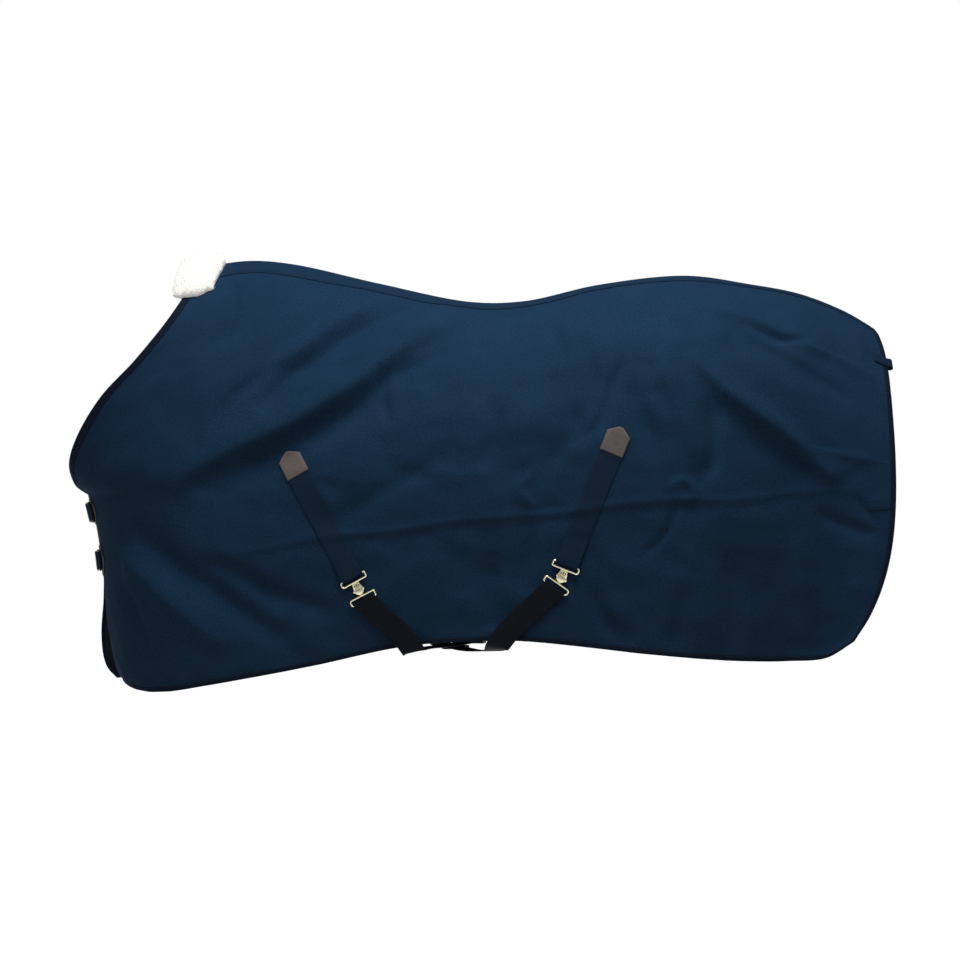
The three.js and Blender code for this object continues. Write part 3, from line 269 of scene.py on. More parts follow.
NEAR_FOLDS = (
    # The drapes from the shoulder to the dip of the back
    Fold(((-86, -10), (-194, -31), (-280, -69), (-345, -118), (-410, -166), (-448, -204), (-485, -252)), -11, 30, 22),
    Fold(((-216, -4), (-302, -37), (-367, -85), (-431, -139), (-485, -182)), 6, 26, 16),
    Fold(((0, -21), (-65, -53), (-129, -87), (-194, -131), (-259, -182), (-345, -236), (-431, -285), (-518, -323),
          (-593, -357), (-690, -420)), 13, 20, 44),
    Fold(((-129, -128), (-205, -182), (-259, -236), (-345, -290), (-453, -344), (-561, -387), (-669, -452)),
         -9, 40, 24),
    Fold(((-399, -145), (-464, -161), (-518, -198), (-561, -247), (-593, -312)), -4, 20, 14),
    Fold(((-259, -128), (-313, -150), (-367, -204), (-410, -236)), -4, 18, 12),
    Fold(((-207, -150), (-211, -193), (-209, -236), (-194, -282)), -5, 12, 12),
    Fold(((-189, -172), (-129, -141), (-32, -105)), -3, 10, 14),
    # Behind the dip of the back, down to the rear patch
    Fold(((194, -64), (232, -128), (243, -193), (226, -258), (183, -323), (119, -398)), -6, 20, 30),
    Fold(((151, -53), (178, -118), (173, -193), (200, -279)), -5, 16, 16),
    Fold(((324, -128), (291, -182), (259, -269), (205, -333)), -5, 18, 14),
    Fold(((351, -128), (334, -204), (361, -290), (383, -366)), -7, 20, 24),
    Fold(((383, -107), (415, -204), (453, -290), (475, -376)), 6, 22, 22),
    Fold(((485, -118), (502, -204), (509, -290), (502, -366), (464, -420)), -6, 14, 22),
    # The shaping over the croup
    Fold(((453, -118), (507, -182), (572, -238), (669, -306), (733, -366), (787, -403)), 9, 26, 14),
    Fold(((485, -215), (582, -290), (669, -355), (733, -398)), -6, 16, 34),
    Fold(((453, -10), (561, -37), (669, -80), (777, -118)), 5, 20, 12),
    Fold(((572, -47), (626, -74), (669, -91), (733, -87)), -6, 9, 9),
    Fold(((539, -64), (636, -118), (733, -172), (820, -225)), -5, 14, 34),
    # The long crease from storage, and the short ones at its end
    Fold(((-593, -573), (-475, -549), (-345, -522), (-194, -509), (-43, -486), (183, -468), (302, -450),
          (421, -441), (561, -441), (690, -425), (820, -430), (884, -495)), 1.5, 8, 4),
    Fold(((-593, -588), (-475, -564), (-345, -537), (-194, -524), (-43, -502), (183, -483), (302, -465),
          (421, -456), (561, -456), (690, -440), (820, -445)), -1.1, 6, 20),
    Fold(((426, -436), (404, -506), (345, -571)), -3.5, 9, 9),
    Fold(((399, -420), (442, -398), (464, -430), (421, -447)), 3, 8, 8),
    Fold(((733, -463), (798, -495), (874, -517)), -4, 12, 18),
    Fold(((820, -376), (830, -441), (874, -506)), -4, 9, 9),
    # The seams of the shaping
    Fold(((644, -92), (733, -112), (778, -123), (840, -155), (873, -179)), 2.0, 3, 14),
    Fold(((704, -328), (768, -338), (815, -343), (878, -361)), 2.4, 3, 14),
    # The low front corner
    Fold(((-787, -484), (-712, -544), (-636, -603), (-518, -684), (-388, -775)), -10, 26, 34),
    Fold(((-809, -549), (-733, -614), (-647, -689), (-539, -786)), 7, 26, 26),
    Fold(((-626, -576), (-539, -594), (-442, -646), (-280, -689)), -7, 20, 30),
    Fold(((-777, -635), (-750, -711), (-717, -808)), -7, 14, 20),
    # Soft upright waves above the hem
    Fold(((243, -506), (232, -592), (270, -700), (334, -754)), -6, 18, 22),
    Fold(((27, -549), (22, -635), (27, -722)), -5, 22, 22),
    Fold(((92, -463), (102, -560), (92, -646)), -4, 20, 20),
    Fold(((442, -614), (431, -700), (426, -775)), -5, 26, 20),
    Fold(((555, -549), (545, -657), (550, -770)), -5, 26, 26),
    Fold(((690, -506), (706, -635), (701, -765)), 4, 34, 34),
    # Near the withers and on the flank
    Fold(((-539, 44), (-545, -21), (-572, -107)), -3, 12, 12),
    Fold(((-464, 39), (-475, -21), (-523, -107)), -3, 12, 14),
    Fold(((-367, 23), (-431, -53), (-507, -118)), 3, 22, 18),
    Fold(((-43, -312), (-129, -376), (-237, -441), (-345, -506)), -4, 22, 22),
    Fold(((22, -215), (32, -290), (0, -376)), -3, 18, 18),
    Fold(((129, -366), (86, -420), (129, -463)), 3, 12, 12),
)

FAR_FOLDS = (
    Fold(((-60, -20), (-180, -80), (-300, -170), (-430, -270), (-600, -370)), 12, 22, 44),
    Fold(((-100, -90), (-220, -180), (-350, -280), (-520, -390)), -9, 38, 26),
    Fold(((200, -60), (250, -180), (220, -320), (120, -420)), -7, 22, 30),
    Fold(((380, -100), (430, -220), (480, -380)), 6, 24, 24),
    Fold(((453, -118), (572, -238), (669, -306), (787, -403)), 8, 26, 16),
    Fold(((539, -64), (636, -118), (733, -172), (820, -225)), -6, 16, 34),
    Fold(((-600, -570), (-345, -522), (-43, -486), (302, -450), (561, -441), (820, -430)), 3.2, 5, 10),
    Fold(((-787, -484), (-636, -603), (-388, -775)), -9, 28, 34),
    Fold(((-809, -549), (-647, -689), (-539, -786)), 7, 26, 26),
    Fold(((-100, -480), (-120, -600), (-90, -730)), -6, 26, 26),
    Fold(((120, -500), (140, -620), (110, -740)), 5, 30, 30),
    Fold(((442, -560), (431, -680), (426, -775)), -6, 28, 22),
    Fold(((620, -520), (610, -650), (615, -770)), 5, 30, 30),
)


@dataclass(frozen=True)
class Quiet:
    """A round place where the cloth lies without folds, because fittings sit on it."""

    x: float
    z: float
    inner: float
    outer: float

    def share(self, x: Array, z: Array) -> Array:
        """How much of a fold is left at places, from 0 inside to 1 outside."""
        return smooth(np.hypot(x - self.x, z - self.z), self.inner, self.outer)


QUIET = {
    Side.NEAR: (Quiet(-262, -632, 42, 90), Quiet(178, -604, 42, 90), Quiet(-878, -471, 60, 90),
                Quiet(-858, -579, 60, 90), Quiet(847, -400, 26, 50), Quiet(880, -135, 24, 45)),
    Side.FAR: (Quiet(-878, -471, 70, 100), Quiet(-858, -579, 70, 100), Quiet(847, -400, 26, 50),
               Quiet(880, -135, 24, 45), Quiet(38, -730, 30, 70), Quiet(-92, -730, 30, 70)),
}


# How much deeper the folds are than their drawn heights
RELIEF = 1.75


class RugSurface:
    """The outer face of the canvas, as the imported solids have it, and the folds on it."""

    spine = outline([
        (-0.346, 0, 0.082), (-0.286, 0, 0.098), (-0.231, 0, 0.09), (-0.126, 0, 0.045), (-0.012, 0, 0.001),
        (0.055, 0, 0.003), (0.148, 0, 0.042), (0.255, 0, 0.063), (0.33, 0, 0.044), (0.395, 0, 0.02),
        (0.45, 0, -0.021), (0.487, 0, -0.062)])
    hem = outline([
        (-0.433, 0.16, -0.89), (-0.411, 0.33, -0.904), (-0.38, 0.5, -0.905), (-0.33, 0.72, -0.89),
        (-0.204, 0.93, -0.844), (-0.095, 0.985, -0.798), (-0.02, 1, -0.784), (0.05, 1, -0.783),
        (0.2, 0.98, -0.813), (0.302, 0.94, -0.83), (0.372, 0.82, -0.833), (0.416, 0.72, -0.826),
        (0.448, 0.69, -0.79)])
    neck = outline([
        (-0.346, 0, 0.082), (-0.357, 0.27, 0.024), (-0.381, 0.49, -0.057), (-0.417, 0.575, -0.146),
        (-0.4555, 0.575, -0.225), (-0.4845, 0.51, -0.31), (-0.5, 0.36, -0.38), (-0.4965, 0.16, -0.43),
        (-0.4835, 0.012, -0.4525)])
    front = outline([
        (-0.4835, 0.012, -0.4525), (-0.474, 0.012, -0.518), (-0.467, 0.012, -0.6), (-0.461, 0.012, -0.7),
        (-0.4545, 0.03, -0.8), (-0.445, 0.09, -0.86), (-0.433, 0.16, -0.89)])
    rear = outline([
        (0.487, 0, -0.062), (0.4885, 0.2, -0.082), (0.492, 0.38, -0.125), (0.495, 0.56, -0.22),
        (0.498, 0.66, -0.36), (0.498, 0.68, -0.48), (0.493, 0.68, -0.58), (0.483, 0.68, -0.66),
        (0.468, 0.68, -0.73), (0.448, 0.69, -0.79)])
    section = SmoothCurve([(a * HALF_WIDTH, d * RUG_DROP, 0) for a, d in (
        (0, 0), (0.3, 0.022), (0.58, 0.085), (0.82, 0.2), (0.95, 0.35), (1, 0.55), (0.995, 0.78), (0.98, 1))])
    width = SmoothCurve([(0, 0.68, 0), (0.18, 0.8, 0), (0.45, 1, 0), (0.75, 0.97, 0), (1, 0.68, 0)])

    def __init__(self) -> None:
        """Draws the seeded noise of each side's small wrinkles."""
        self.noise = {side: [Noise(40 + 5 * k + side.value) for k in range(3)] for side in Side}

    def _along(self, u: Array, v: Array) -> Array:
        """The share of the edges' length at columns u and rows v."""
        chest = smooth(v, NECK_SHARE - 0.2, NECK_SHARE + 0.02)
        part = u / CHEST_ROW
        turned = CHEST_TURN * mix(part, 1 - np.cos(math.pi / 2 * part), chest)
        straight = CHEST_TURN + (1 - CHEST_TURN) * (u - CHEST_ROW) / (1 - CHEST_ROW)
        return np.where(u < CHEST_ROW, turned, straight)

    def _inner(self, u: Array, v: Array) -> Array:
        """Places inside the edges."""
        share = self._along(u, v)
        section = self.section.along(v)
        across = section[:, 0] / HALF_WIDTH
        down = (section[:, 1] / RUG_DROP)[:, None]
        above = (v < NECK_SHARE)[:, None]
        front = np.where(above, self.neck.along(np.minimum(v / NECK_SHARE, 1)),
                         self.front.along(np.maximum((v - NECK_SHARE) / (1 - NECK_SHARE), 0)))
        rear = self.rear.along(v)
        spine, hem = self.spine, self.hem
        place = mix(spine.along(share), hem.along(share), down)
        place = place + ((1 - share) ** 2)[:, None] * (front - mix(spine.points[0], hem.points[0], down))
        place = place + (share ** 2)[:, None] * (rear - mix(spine.points[-1], hem.points[-1], down))
        turn = np.clip(share / CHEST_TURN, 0, 1)
        chest = smooth(v, NECK_SHARE - 0.2, NECK_SHARE + 0.02)
        opened = mix(turn * (2 - turn), np.sqrt(1 - (1 - turn) ** 2), chest)
        tail = smooth(share, 0.72, 1) ** 1.5
        wide = self.width.at(share)[:, 1] * HALF_WIDTH
        place[:, 1] = mix(front[:, 1], mix(-wide * across, rear[:, 1], tail), opened)
        return place

    def near(self, u: Array, v: Array) -> Array:
        """Places on the near side; past the edges the skin goes straight on."""
        iu, iv = np.clip(u, STEP, 1 - STEP), np.clip(v, 0, 1 - STEP)
        place = self._inner(iu, iv)
        beyond = (np.abs(u - iu) / (0.01 - STEP) * ((u < STEP) | (u > 1 - STEP)))[:, None]
        below = (np.maximum(v - iv, 0) / (0.01 - STEP) * (v > 1 - STEP))[:, None]
        moved = place
        if beyond.any():
            moved = moved + (place - self._inner(np.clip(u, 0.01, 0.99), iv)) * beyond
        if below.any():
            moved = moved + (place - self._inner(iu, np.full_like(iv, 0.99))) * below
        return moved

    def normal(self, u: Array, v: Array) -> Array:
        """Outward directions on the near side."""
        step = 0.002
        row = self.near(u + step, v) - self.near(u - step, v)
        column = self.near(u, v + step) - self.near(u, np.maximum(v - step, 0))
        normal = unit(np.cross(column, row))
        normal[:, 1] *= np.clip(v / 0.01, 0, 1)
        return unit(normal)

    def skin(self, side: Side, u: Array, v: Array, stand: Array | float) -> Array:
        """The unfolded skin of one side.

        Args:
            side: near or far.
            u: columns, from the front to the rear edge.
            v: rows, from the spine to the hem.
            stand: how far outside the canvas, in millimetres.

        Returns:
            Places in millimetres.
        """
        u, v, stand = (np.atleast_1d(np.asarray(x, float)) for x in (u, v, stand))
        u, v, stand = np.broadcast_arrays(u, v, stand)
        place = self.near(u, v)
        if np.any(stand):
            place = place + self.normal(u, v) * stand[:, None]
        if side is Side.FAR:
            lead = FAR_FLAP_LEAD * smooth(v, 0.74, 1) * (1 - smooth(u, 0, 0.2))
            place = np.stack([place[:, 0] - lead, -place[:, 1], place[:, 2]], axis=1)
        return place

    def folds(self, side: Side, u: Array, v: Array, place: Array) -> Array:
        """How far the folds and wrinkles lift the cloth.

        Args:
            side: near or far.
            u: columns.
            v: rows.
            place: the places of the columns and rows.

        Returns:
            One lift for each place, in millimetres.
        """
        x, z = place[:, 0], place[:, 2]
        lift = np.zeros(len(x))
        for fold in (NEAR_FOLDS if side is Side.NEAR else FAR_FOLDS):
            lift += fold.lift(x, z)
        broad, middle, fine = self.noise[side]
        along, down = u * SKIN_ALONG, v * SKIN_ACROSS
        slope = along * 0.8 + down * 0.6
        cross = down * 0.8 - along * 0.6
        lift *= RELIEF
        lift += 4.5 * broad.at(slope, cross * 1.6, 150) + 2.2 * middle.at(slope, cross * 1.5, 52)
        lift += 0.5 * fine.at(along, down, 19)
        hem = smooth(v, 0.86, 1.0)
        lift += 0.7 * hem * middle.at(along, down * 0.2 + 900, 26)
        for quiet in QUIET[side]:
            lift *= quiet.share(x, z)
        return lift * smooth(v, 0.0, 0.09) * (0.25 + 0.75 * smooth(u, 0.0, 0.04)) * (
            0.3 + 0.7 * (1 - smooth(u, 0.965, 1.0)))

    def cloth(self, side: Side, u: Array, v: Array, stand: Array | float) -> Array:
        """The folded cloth's outer face, raised by stand."""
        u, v, stand = (np.atleast_1d(np.asarray(x, float)) for x in (u, v, stand))
        u, v, stand = np.broadcast_arrays(u, v, stand)
        lift = self.folds(side, u, v, self.skin(side, u, v, 0.0))
        return self.skin(side, u, v, stand + lift)


SURFACE = RugSurface()


@dataclass
class Spot:
    """A flat frame that touches the skin: a runs along a direction, b across it, n outwards."""

    side: Side
    u: float
    v: float
    origin: Array
    along: Array
    across: Array
    normal: Array

    @classmethod
    def on_skin(cls, side: Side, u: float, v: float, direction: Array) -> "Spot":
        """The frame at a column and a row, with a along a direction."""
        origin = SURFACE.skin(side, u, v, 0)[0]
        normal = unit(SURFACE.skin(side, u, v, 1)[0] - origin)
        along = unit(direction - normal * (direction @ normal))
        return cls(side, u, v, origin, along, np.cross(normal, along), normal)

    @classmethod
    def at_flank(cls, side: Side, x_share: float, z_share: float, direction: Array) -> "Spot":
        """The frame at shares of the length and of the drop."""
        target = np.array([x_share * RUG_LENGTH, 0, z_share * RUG_DROP])
        us, vs = (grid.ravel() for grid in np.meshgrid(np.arange(41) / 40, np.arange(4, 41) / 40, indexing="ij"))
        places = SURFACE.skin(side, us, vs, 0)
        best = np.argmin(np.hypot(places[:, 0] - target[0], places[:, 2] - target[2]))
        spot = cls.on_skin(side, us[best], vs[best], direction)
        for _ in range(3):
            off = target - spot.origin
            off[1] = 0
            u, v = spot.uv_under(off @ spot.along, off @ spot.across)
            spot = cls.on_skin(side, float(u[0]), float(v[0]), direction)
        return spot

    def flat(self, a: Array | float, b: Array | float, n: Array | float) -> Array:
        """Places of the frame, in millimetres."""
        a, b, n = np.broadcast_arrays(*(np.atleast_1d(np.asarray(x, float)) for x in (a, b, n)))
        return self.origin + a[:, None] * self.along + b[:, None] * self.across + n[:, None] * self.normal

    def uv_under(self, a: Array | float, b: Array | float) -> tuple[Array, Array]:
        """The skin's columns and rows under places of the frame."""
        target = self.flat(a, b, 0)
        u, v = np.full(len(target), self.u), np.full(len(target), self.v)

        def miss(cu: Array, cv: Array) -> tuple[Array, Array]:
            """How far the skin at columns and rows is from the targets."""
            off = SURFACE.skin(self.side, cu, cv, 0) - target
            return off @ self.along, off @ self.across

        step = 5e-4
        for _ in range(12):
            p, q = miss(u, v)
            pu, qu = miss(u + step, v)
            pv, qv = miss(u, v + step)
            a11, a12, a21, a22 = (pu - p) / step, (pv - p) / step, (qu - q) / step, (qv - q) / step
            size = a11 * a22 - a12 * a21
            u = np.clip(u - (a22 * p - a12 * q) / size, -0.06, 1.06)
            v = np.clip(v - (a11 * q - a21 * p) / size, 0, 1.06)
        return u, v

    def on_cloth(self, a: Array | float, b: Array | float, n: Array | float) -> Array:
        """Places on the folded cloth under the frame, raised by n."""
        a, b, n = np.broadcast_arrays(*(np.atleast_1d(np.asarray(x, float)) for x in (a, b, n)))
        u, v = self.uv_under(a, b)
        return SURFACE.cloth(self.side, u, v, n)

    def draped(self, a: Array, b: Array, n: Array, near: float, far: float) -> Array:
        """Flat near the frame's origin, lying on the cloth past far."""
        a, b, n = np.broadcast_arrays(*(np.atleast_1d(np.asarray(x, float)) for x in (a, b, n)))
        share = smooth(np.abs(a), near, far)[:, None]
        return mix(self.flat(a, b, n), self.on_cloth(a, b, n), share)

    def turned(self, direction: Array, a: float = 0.0) -> "Spot":
        """The same plane with a along another direction, moved by a along this one."""
        along = unit(direction - self.normal * (direction @ self.normal))
        return Spot(self.side, self.u, self.v, self.flat(a, 0, 0)[0], along, np.cross(self.normal, along),
                    self.normal)

    def matrix(self, a: float = 0.0, b: float = 0.0, n: float = 0.0) -> Matrix:
        """The frame as a matrix from millimetres to the row's metres."""
        basis = np.eye(4)
        basis[:3, 0], basis[:3, 1], basis[:3, 2] = (
            axis * MM for axis in (self.along, self.across, self.normal))
        basis[:3, 3] = self.flat(a, b, n)[0] * MM
        return Matrix(basis.tolist())


# ------------------------------------------------------------------ materials
@dataclass(frozen=True)
class Field:
    """A number that varies over a surface: a socket with the usual operators."""

    graph: "Graph"
    socket: bpy.types.NodeSocket

    def _with(self, operation: str, *others: "Field | float", first: bool = True) -> "Field":
        """A Math node on this value and others."""
        terms = [self, *others] if first else [*others, self]
        node = self.graph.node("ShaderNodeMath", {"operation": operation}, dict(enumerate(terms)))
        return Field(self.graph, node.outputs[0])

    def __add__(self, other: "Field | float") -> "Field":
        """Sum."""
        return self._with("ADD", other)

    __radd__ = __add__

    def __mul__(self, other: "Field | float") -> "Field":
        """Product."""
        return self._with("MULTIPLY", other)

    __rmul__ = __mul__

    def __sub__(self, other: "Field | float") -> "Field":
        """Difference."""
        return self._with("SUBTRACT", other)

    def __rsub__(self, other: float) -> "Field":
        """Reflected difference."""
        return self._with("SUBTRACT", other, first=False)

    def sine(self) -> "Field":
        """Sine."""
        return self._with("SINE")

    def size(self) -> "Field":
        """Absolute value."""
        return self._with("ABSOLUTE")

    def stepped(self, low: float, high: float) -> "Field":
        """A smooth step from 0 at low to 1 at high."""
        node = self.graph.node("ShaderNodeMapRange", {"interpolation_type": "SMOOTHSTEP"},
                               {0: self, 1: low, 2: high, 3: 0.0, 4: 1.0})
        return Field(self.graph, node.outputs[0])


class Graph:
    """The node tree of one material."""

    def __init__(self, name: str) -> None:
        """Makes the material with its shader."""
        self.material = bpy.data.materials.new(name)
        self.material.use_nodes = True
        self.tree = self.material.node_tree
        self.shader = self.tree.nodes["Principled BSDF"]

    def node(self, kind: str, settings: dict, inputs: dict) -> bpy.types.Node:
        """Adds a node.

        Args:
            kind: the node's type.
            settings: attributes, set before the inputs.
            inputs: values or links of its sockets, by name or number.

        Returns:
            The node.
        """
        node = self.tree.nodes.new(kind)
        for name, value in settings.items():
            setattr(node, name, value)
        for key, value in inputs.items():
            socket = node.inputs[key]
            if isinstance(value, Field):
                self.tree.links.new(value.socket, socket)
            elif isinstance(value, bpy.types.NodeSocket):
                self.tree.links.new(value, socket)
            else:
                socket.default_value = value
        return node

    def number(self, kind: str, settings: dict, inputs: dict, output: int | str = 0) -> Field:
        """A node's number."""
        return Field(self, self.node(kind, settings, inputs).outputs[output])

    def blend(self, share: Field | float, low: tuple | bpy.types.NodeSocket,
              high: tuple | bpy.types.NodeSocket) -> bpy.types.NodeSocket:
        """Mixes two colours."""
        colours = {key: (*value, 1.0) if isinstance(value, tuple) else value
                   for key, value in ((6, low), (7, high))}
        node = self.node("ShaderNodeMix", {"data_type": "RGBA"}, {0: share, **colours})
        return node.outputs[2]

    def cloth_place(self) -> tuple[Field, Field, bpy.types.NodeSocket]:
        """The piece's own map: along, across, and both as a vector, in metres."""
        spot = self.node("ShaderNodeUVMap", {"uv_map": "cloth"}, {}).outputs[0]
        parts = self.node("ShaderNodeSeparateXYZ", {}, {0: spot})
        return Field(self, parts.outputs[0]), Field(self, parts.outputs[1]), spot

    def object_place(self) -> bpy.types.NodeSocket:
        """Object coordinates."""
        return self.node("ShaderNodeTexCoord", {}, {}).outputs["Object"]

    def speckle(self, spot: bpy.types.NodeSocket, scale: float, detail: float = 3.0) -> Field:
        """Smooth noise from 0 to 1."""
        return self.number("ShaderNodeTexNoise", {}, {"Vector": spot, "Scale": scale, "Detail": detail,
                                                      "Roughness": 0.6})

    def finish(self, colour: bpy.types.NodeSocket | tuple, roughness: Field | float, metallic: float,
               bumps: list[tuple[Field, float, float]], sheen: float = 0.0,
               shine: float = 0.5) -> bpy.types.Material:
        """Joins everything to the shader.

        Args:
            colour: the base colour.
            roughness: the roughness.
            metallic: the metallic share.
            bumps: heights with their strength and their depth in metres.
            sheen: the sheen's weight.
            shine: the specular level.

        Returns:
            The material.
        """
        inputs = self.shader.inputs
        inputs["Specular IOR Level"].default_value = shine
        if isinstance(colour, tuple):
            inputs["Base Color"].default_value = (*colour, 1.0)
        else:
            self.tree.links.new(colour, inputs["Base Color"])
        if isinstance(roughness, Field):
            self.tree.links.new(roughness.socket, inputs["Roughness"])
        else:
            inputs["Roughness"].default_value = roughness
        inputs["Metallic"].default_value = metallic
        inputs["Sheen Weight"].default_value = sheen
        inputs["Sheen Roughness"].default_value = 0.5
        last = None
        for height, strength, depth in bumps:
            wired = {"Strength": strength, "Distance": depth, "Height": height}
            if last is not None:
                wired["Normal"] = last
            last = self.node("ShaderNodeBump", {}, wired).outputs[0]
        if last is not None:
            self.tree.links.new(last, inputs["Normal"])
        return self.material


def linear(red: int, green: int, blue: int) -> tuple[float, float, float]:
    """A screen colour as linear light."""
    return tuple(c / 12.92 if c <= 0.04045 else ((c + 0.055) / 1.055) ** 2.4
                 for c in (x / 255 for x in (red, green, blue)))


@dataclass(frozen=True)
class WovenCloth:
    """Plain weave: warp and weft threads that pass over and under each other."""

    name: str
    colour: tuple
    light: tuple
    thread: float
    roughness: float = 0.85
    depth: float = 0.00035
    sheen: float = 0.0

    def material(self) -> bpy.types.Material:
        """Makes the material on the piece's own map."""
        graph = Graph(self.name)
        along, across, spot = graph.cloth_place()
        turn = 2 * math.pi / (2 * self.thread)
        warp, weft = (along * turn).sine(), (across * turn).sine()
        over = (warp * weft) * 0.5 + 0.5
        slub = graph.speckle(spot, 240.0, 4.0)
        cloud = graph.speckle(spot, 7.0, 3.0)
        yarn = graph.number("ShaderNodeTexNoise", {}, {"Vector": spot, "Scale": 620.0, "Detail": 2.0})
        share = (over * 0.22 + slub * 0.48 + yarn * 0.3).stepped(0.3, 0.72)
        base = graph.blend(share, self.colour, self.light)
        worn = tuple(min(1.0, c * 1.35 + 0.004) for c in self.light)
        base = graph.blend(cloud.stepped(0.5, 0.85) * 0.22, base, worn)
        rough = slub * 0.14 + (self.roughness - 0.07)
        return graph.finish(base, rough, 0.0, [(over, 0.5, self.depth), (yarn, 0.35, self.depth)], self.sheen, 0.12)


@dataclass(frozen=True)
class RibbedWebbing:
    """Flat webbing with a rib along each edge and a herringbone face."""

    name: str
    colour: tuple
    light: tuple
    roughness: float = 0.75

    def material(self) -> bpy.types.Material:
        """Makes the material on the piece's own map."""
        graph = Graph(self.name)
        along, across, spot = graph.cloth_place()
        lane = (across * (math.pi / 0.0042)).sine().size()
        slant = ((along + (across * (math.pi / 0.0084)).sine().size() * 0.0021) * (2 * math.pi / 0.0016)).sine()
        face = slant * 0.5 + 0.5
        mottle = graph.speckle(spot, 160.0, 3.0)
        share = (face * 0.5 + mottle * 0.5).stepped(0.25, 0.85)
        base = graph.blend(share, self.colour, self.light)
        rough = mottle * 0.15 + (self.roughness - 0.07)
        return graph.finish(base, rough, 0.0, [(lane, 0.4, 0.0004), (face, 0.4, 0.0003)], 0.0, 0.15)


@dataclass(frozen=True)
class GrainedLeather:
    """Soft leather with a pebbled grain, its creases darkened as painted shade, and blotchy tone."""

    name: str
    colour: tuple
    dark: tuple

    def material(self) -> bpy.types.Material:
        """Makes the material on Object coordinates."""
        graph = Graph(self.name)
        spot = graph.object_place()
        pebble = graph.number("ShaderNodeTexVoronoi", {"feature": "DISTANCE_TO_EDGE"},
                              {"Vector": spot, "Scale": 620.0})
        cracks = pebble.stepped(0.0, 0.12)
        cloud = graph.speckle(spot, 55.0, 4.0)
        fine = graph.speckle(spot, 900.0, 2.0)
        # Painted shade: the creases of the grain take the dark colour.
        base = graph.blend((cracks * 0.5 + cloud * 0.6).stepped(0.2, 0.95), self.dark, self.colour)
        rough = 0.72 - cloud * 0.2
        return graph.finish(base, rough, 0.0, [(cracks, 0.5, 0.0004), (fine, 0.25, 0.0003)])


@dataclass(frozen=True)
class CastMetal:
    """Plated or lacquered metal with faint scratches and dulled patches."""

    name: str
    colour: tuple
    dull: tuple
    roughness: float
    metallic: float

    def material(self) -> bpy.types.Material:
        """Makes the material on Object coordinates."""
        graph = Graph(self.name)
        spot = graph.object_place()
        patches = graph.speckle(spot, 130.0, 4.0)
        fine = graph.speckle(spot, 1500.0, 2.0)
        base = graph.blend(patches.stepped(0.45, 0.75) * 0.5, self.colour, self.dull)
        rough = patches * 0.22 + fine * 0.08 + (self.roughness - 0.15)
        return graph.finish(base, rough, self.metallic, [(fine, 0.12, 0.0002), (patches, 0.1, 0.0004)])


@dataclass(frozen=True)
class FleecePile:
    """Deep curly pile: bright tips, warm shadow between the curls, and a faint painted glow over the whole pile."""

    name: str
    tip: tuple
    root: tuple

    def material(self) -> bpy.types.Material:
        """Makes the material on Object coordinates."""
        graph = Graph(self.name)
        spot = graph.object_place()
        curl = graph.number("ShaderNodeTexVoronoi", {}, {"Vector": spot, "Scale": 210.0})
        fibre = graph.speckle(spot, 900.0, 4.0)
        share = (curl * 0.55 + fibre * 0.5).stepped(0.15, 0.85)
        base = graph.blend(share, self.tip, self.root)
        height = 1 - curl
        # Painted light: the pile glows faintly in warm white, though it is no lamp.
        graph.shader.inputs["Emission Color"].default_value = (1.0, 0.99, 0.94, 1.0)
        graph.shader.inputs["Emission Strength"].default_value = 0.3
        return graph.finish(base, 0.95, 0.0, [(height, 0.5, 0.0012), (fibre, 0.5, 0.0006)], 0.3)


@dataclass(frozen=True)
class SewingThread:
    """Twisted polyester thread."""

    name: str
    colour: tuple
    light: tuple

    def material(self) -> bpy.types.Material:
        """Makes the material on Object coordinates."""
        graph = Graph(self.name)
        twist = graph.speckle(graph.object_place(), 1800.0, 1.0)
        return graph.finish(graph.blend(twist, self.colour, self.light), 0.7, 0.0, [(twist, 0.3, 0.0002)], 0.0, 0.2)


class Finishes:
    """Every finish of the rug, made once."""

    def __init__(self) -> None:
        """Makes the materials."""
        self.canvas = WovenCloth("navy_canvas", linear(13, 38, 62), linear(30, 68, 100), 0.00055).material()
        self.lining = WovenCloth("black_lining", linear(13, 14, 18), linear(26, 28, 34), 0.0004, 0.7).material()
        self.binding = WovenCloth("edge_binding", linear(10, 20, 36), linear(22, 36, 56), 0.0007).material()
        self.tape = WovenCloth("spine_tape_navy", linear(12, 36, 58), linear(28, 63, 94), 0.0006).material()
        self.webbing = RibbedWebbing("sewn_webbing", linear(10, 30, 50), linear(22, 50, 78)).material()
        self.black_webbing = RibbedWebbing("loose_webbing", linear(3, 7, 13), linear(10, 17, 28)).material()
        self.leather = GrainedLeather("patch_leather", linear(122, 111, 104), linear(78, 69, 64)).material()
        self.brass = CastMetal("pale_brass", linear(246, 238, 200), linear(205, 190, 140), 0.28, 1.0).material()
        self.black_metal = CastMetal("black_lacquer", linear(26, 28, 32), linear(48, 50, 54), 0.45, 0.6).material()
        self.fleece = FleecePile("wither_pile", linear(255, 255, 253), linear(250, 247, 236)).material()
        self.navy_thread = SewingThread("navy_thread", linear(22, 40, 62), linear(40, 64, 92)).material()
        self.leather_thread = SewingThread("leather_thread", linear(150, 138, 128), linear(190, 178, 166)).material()


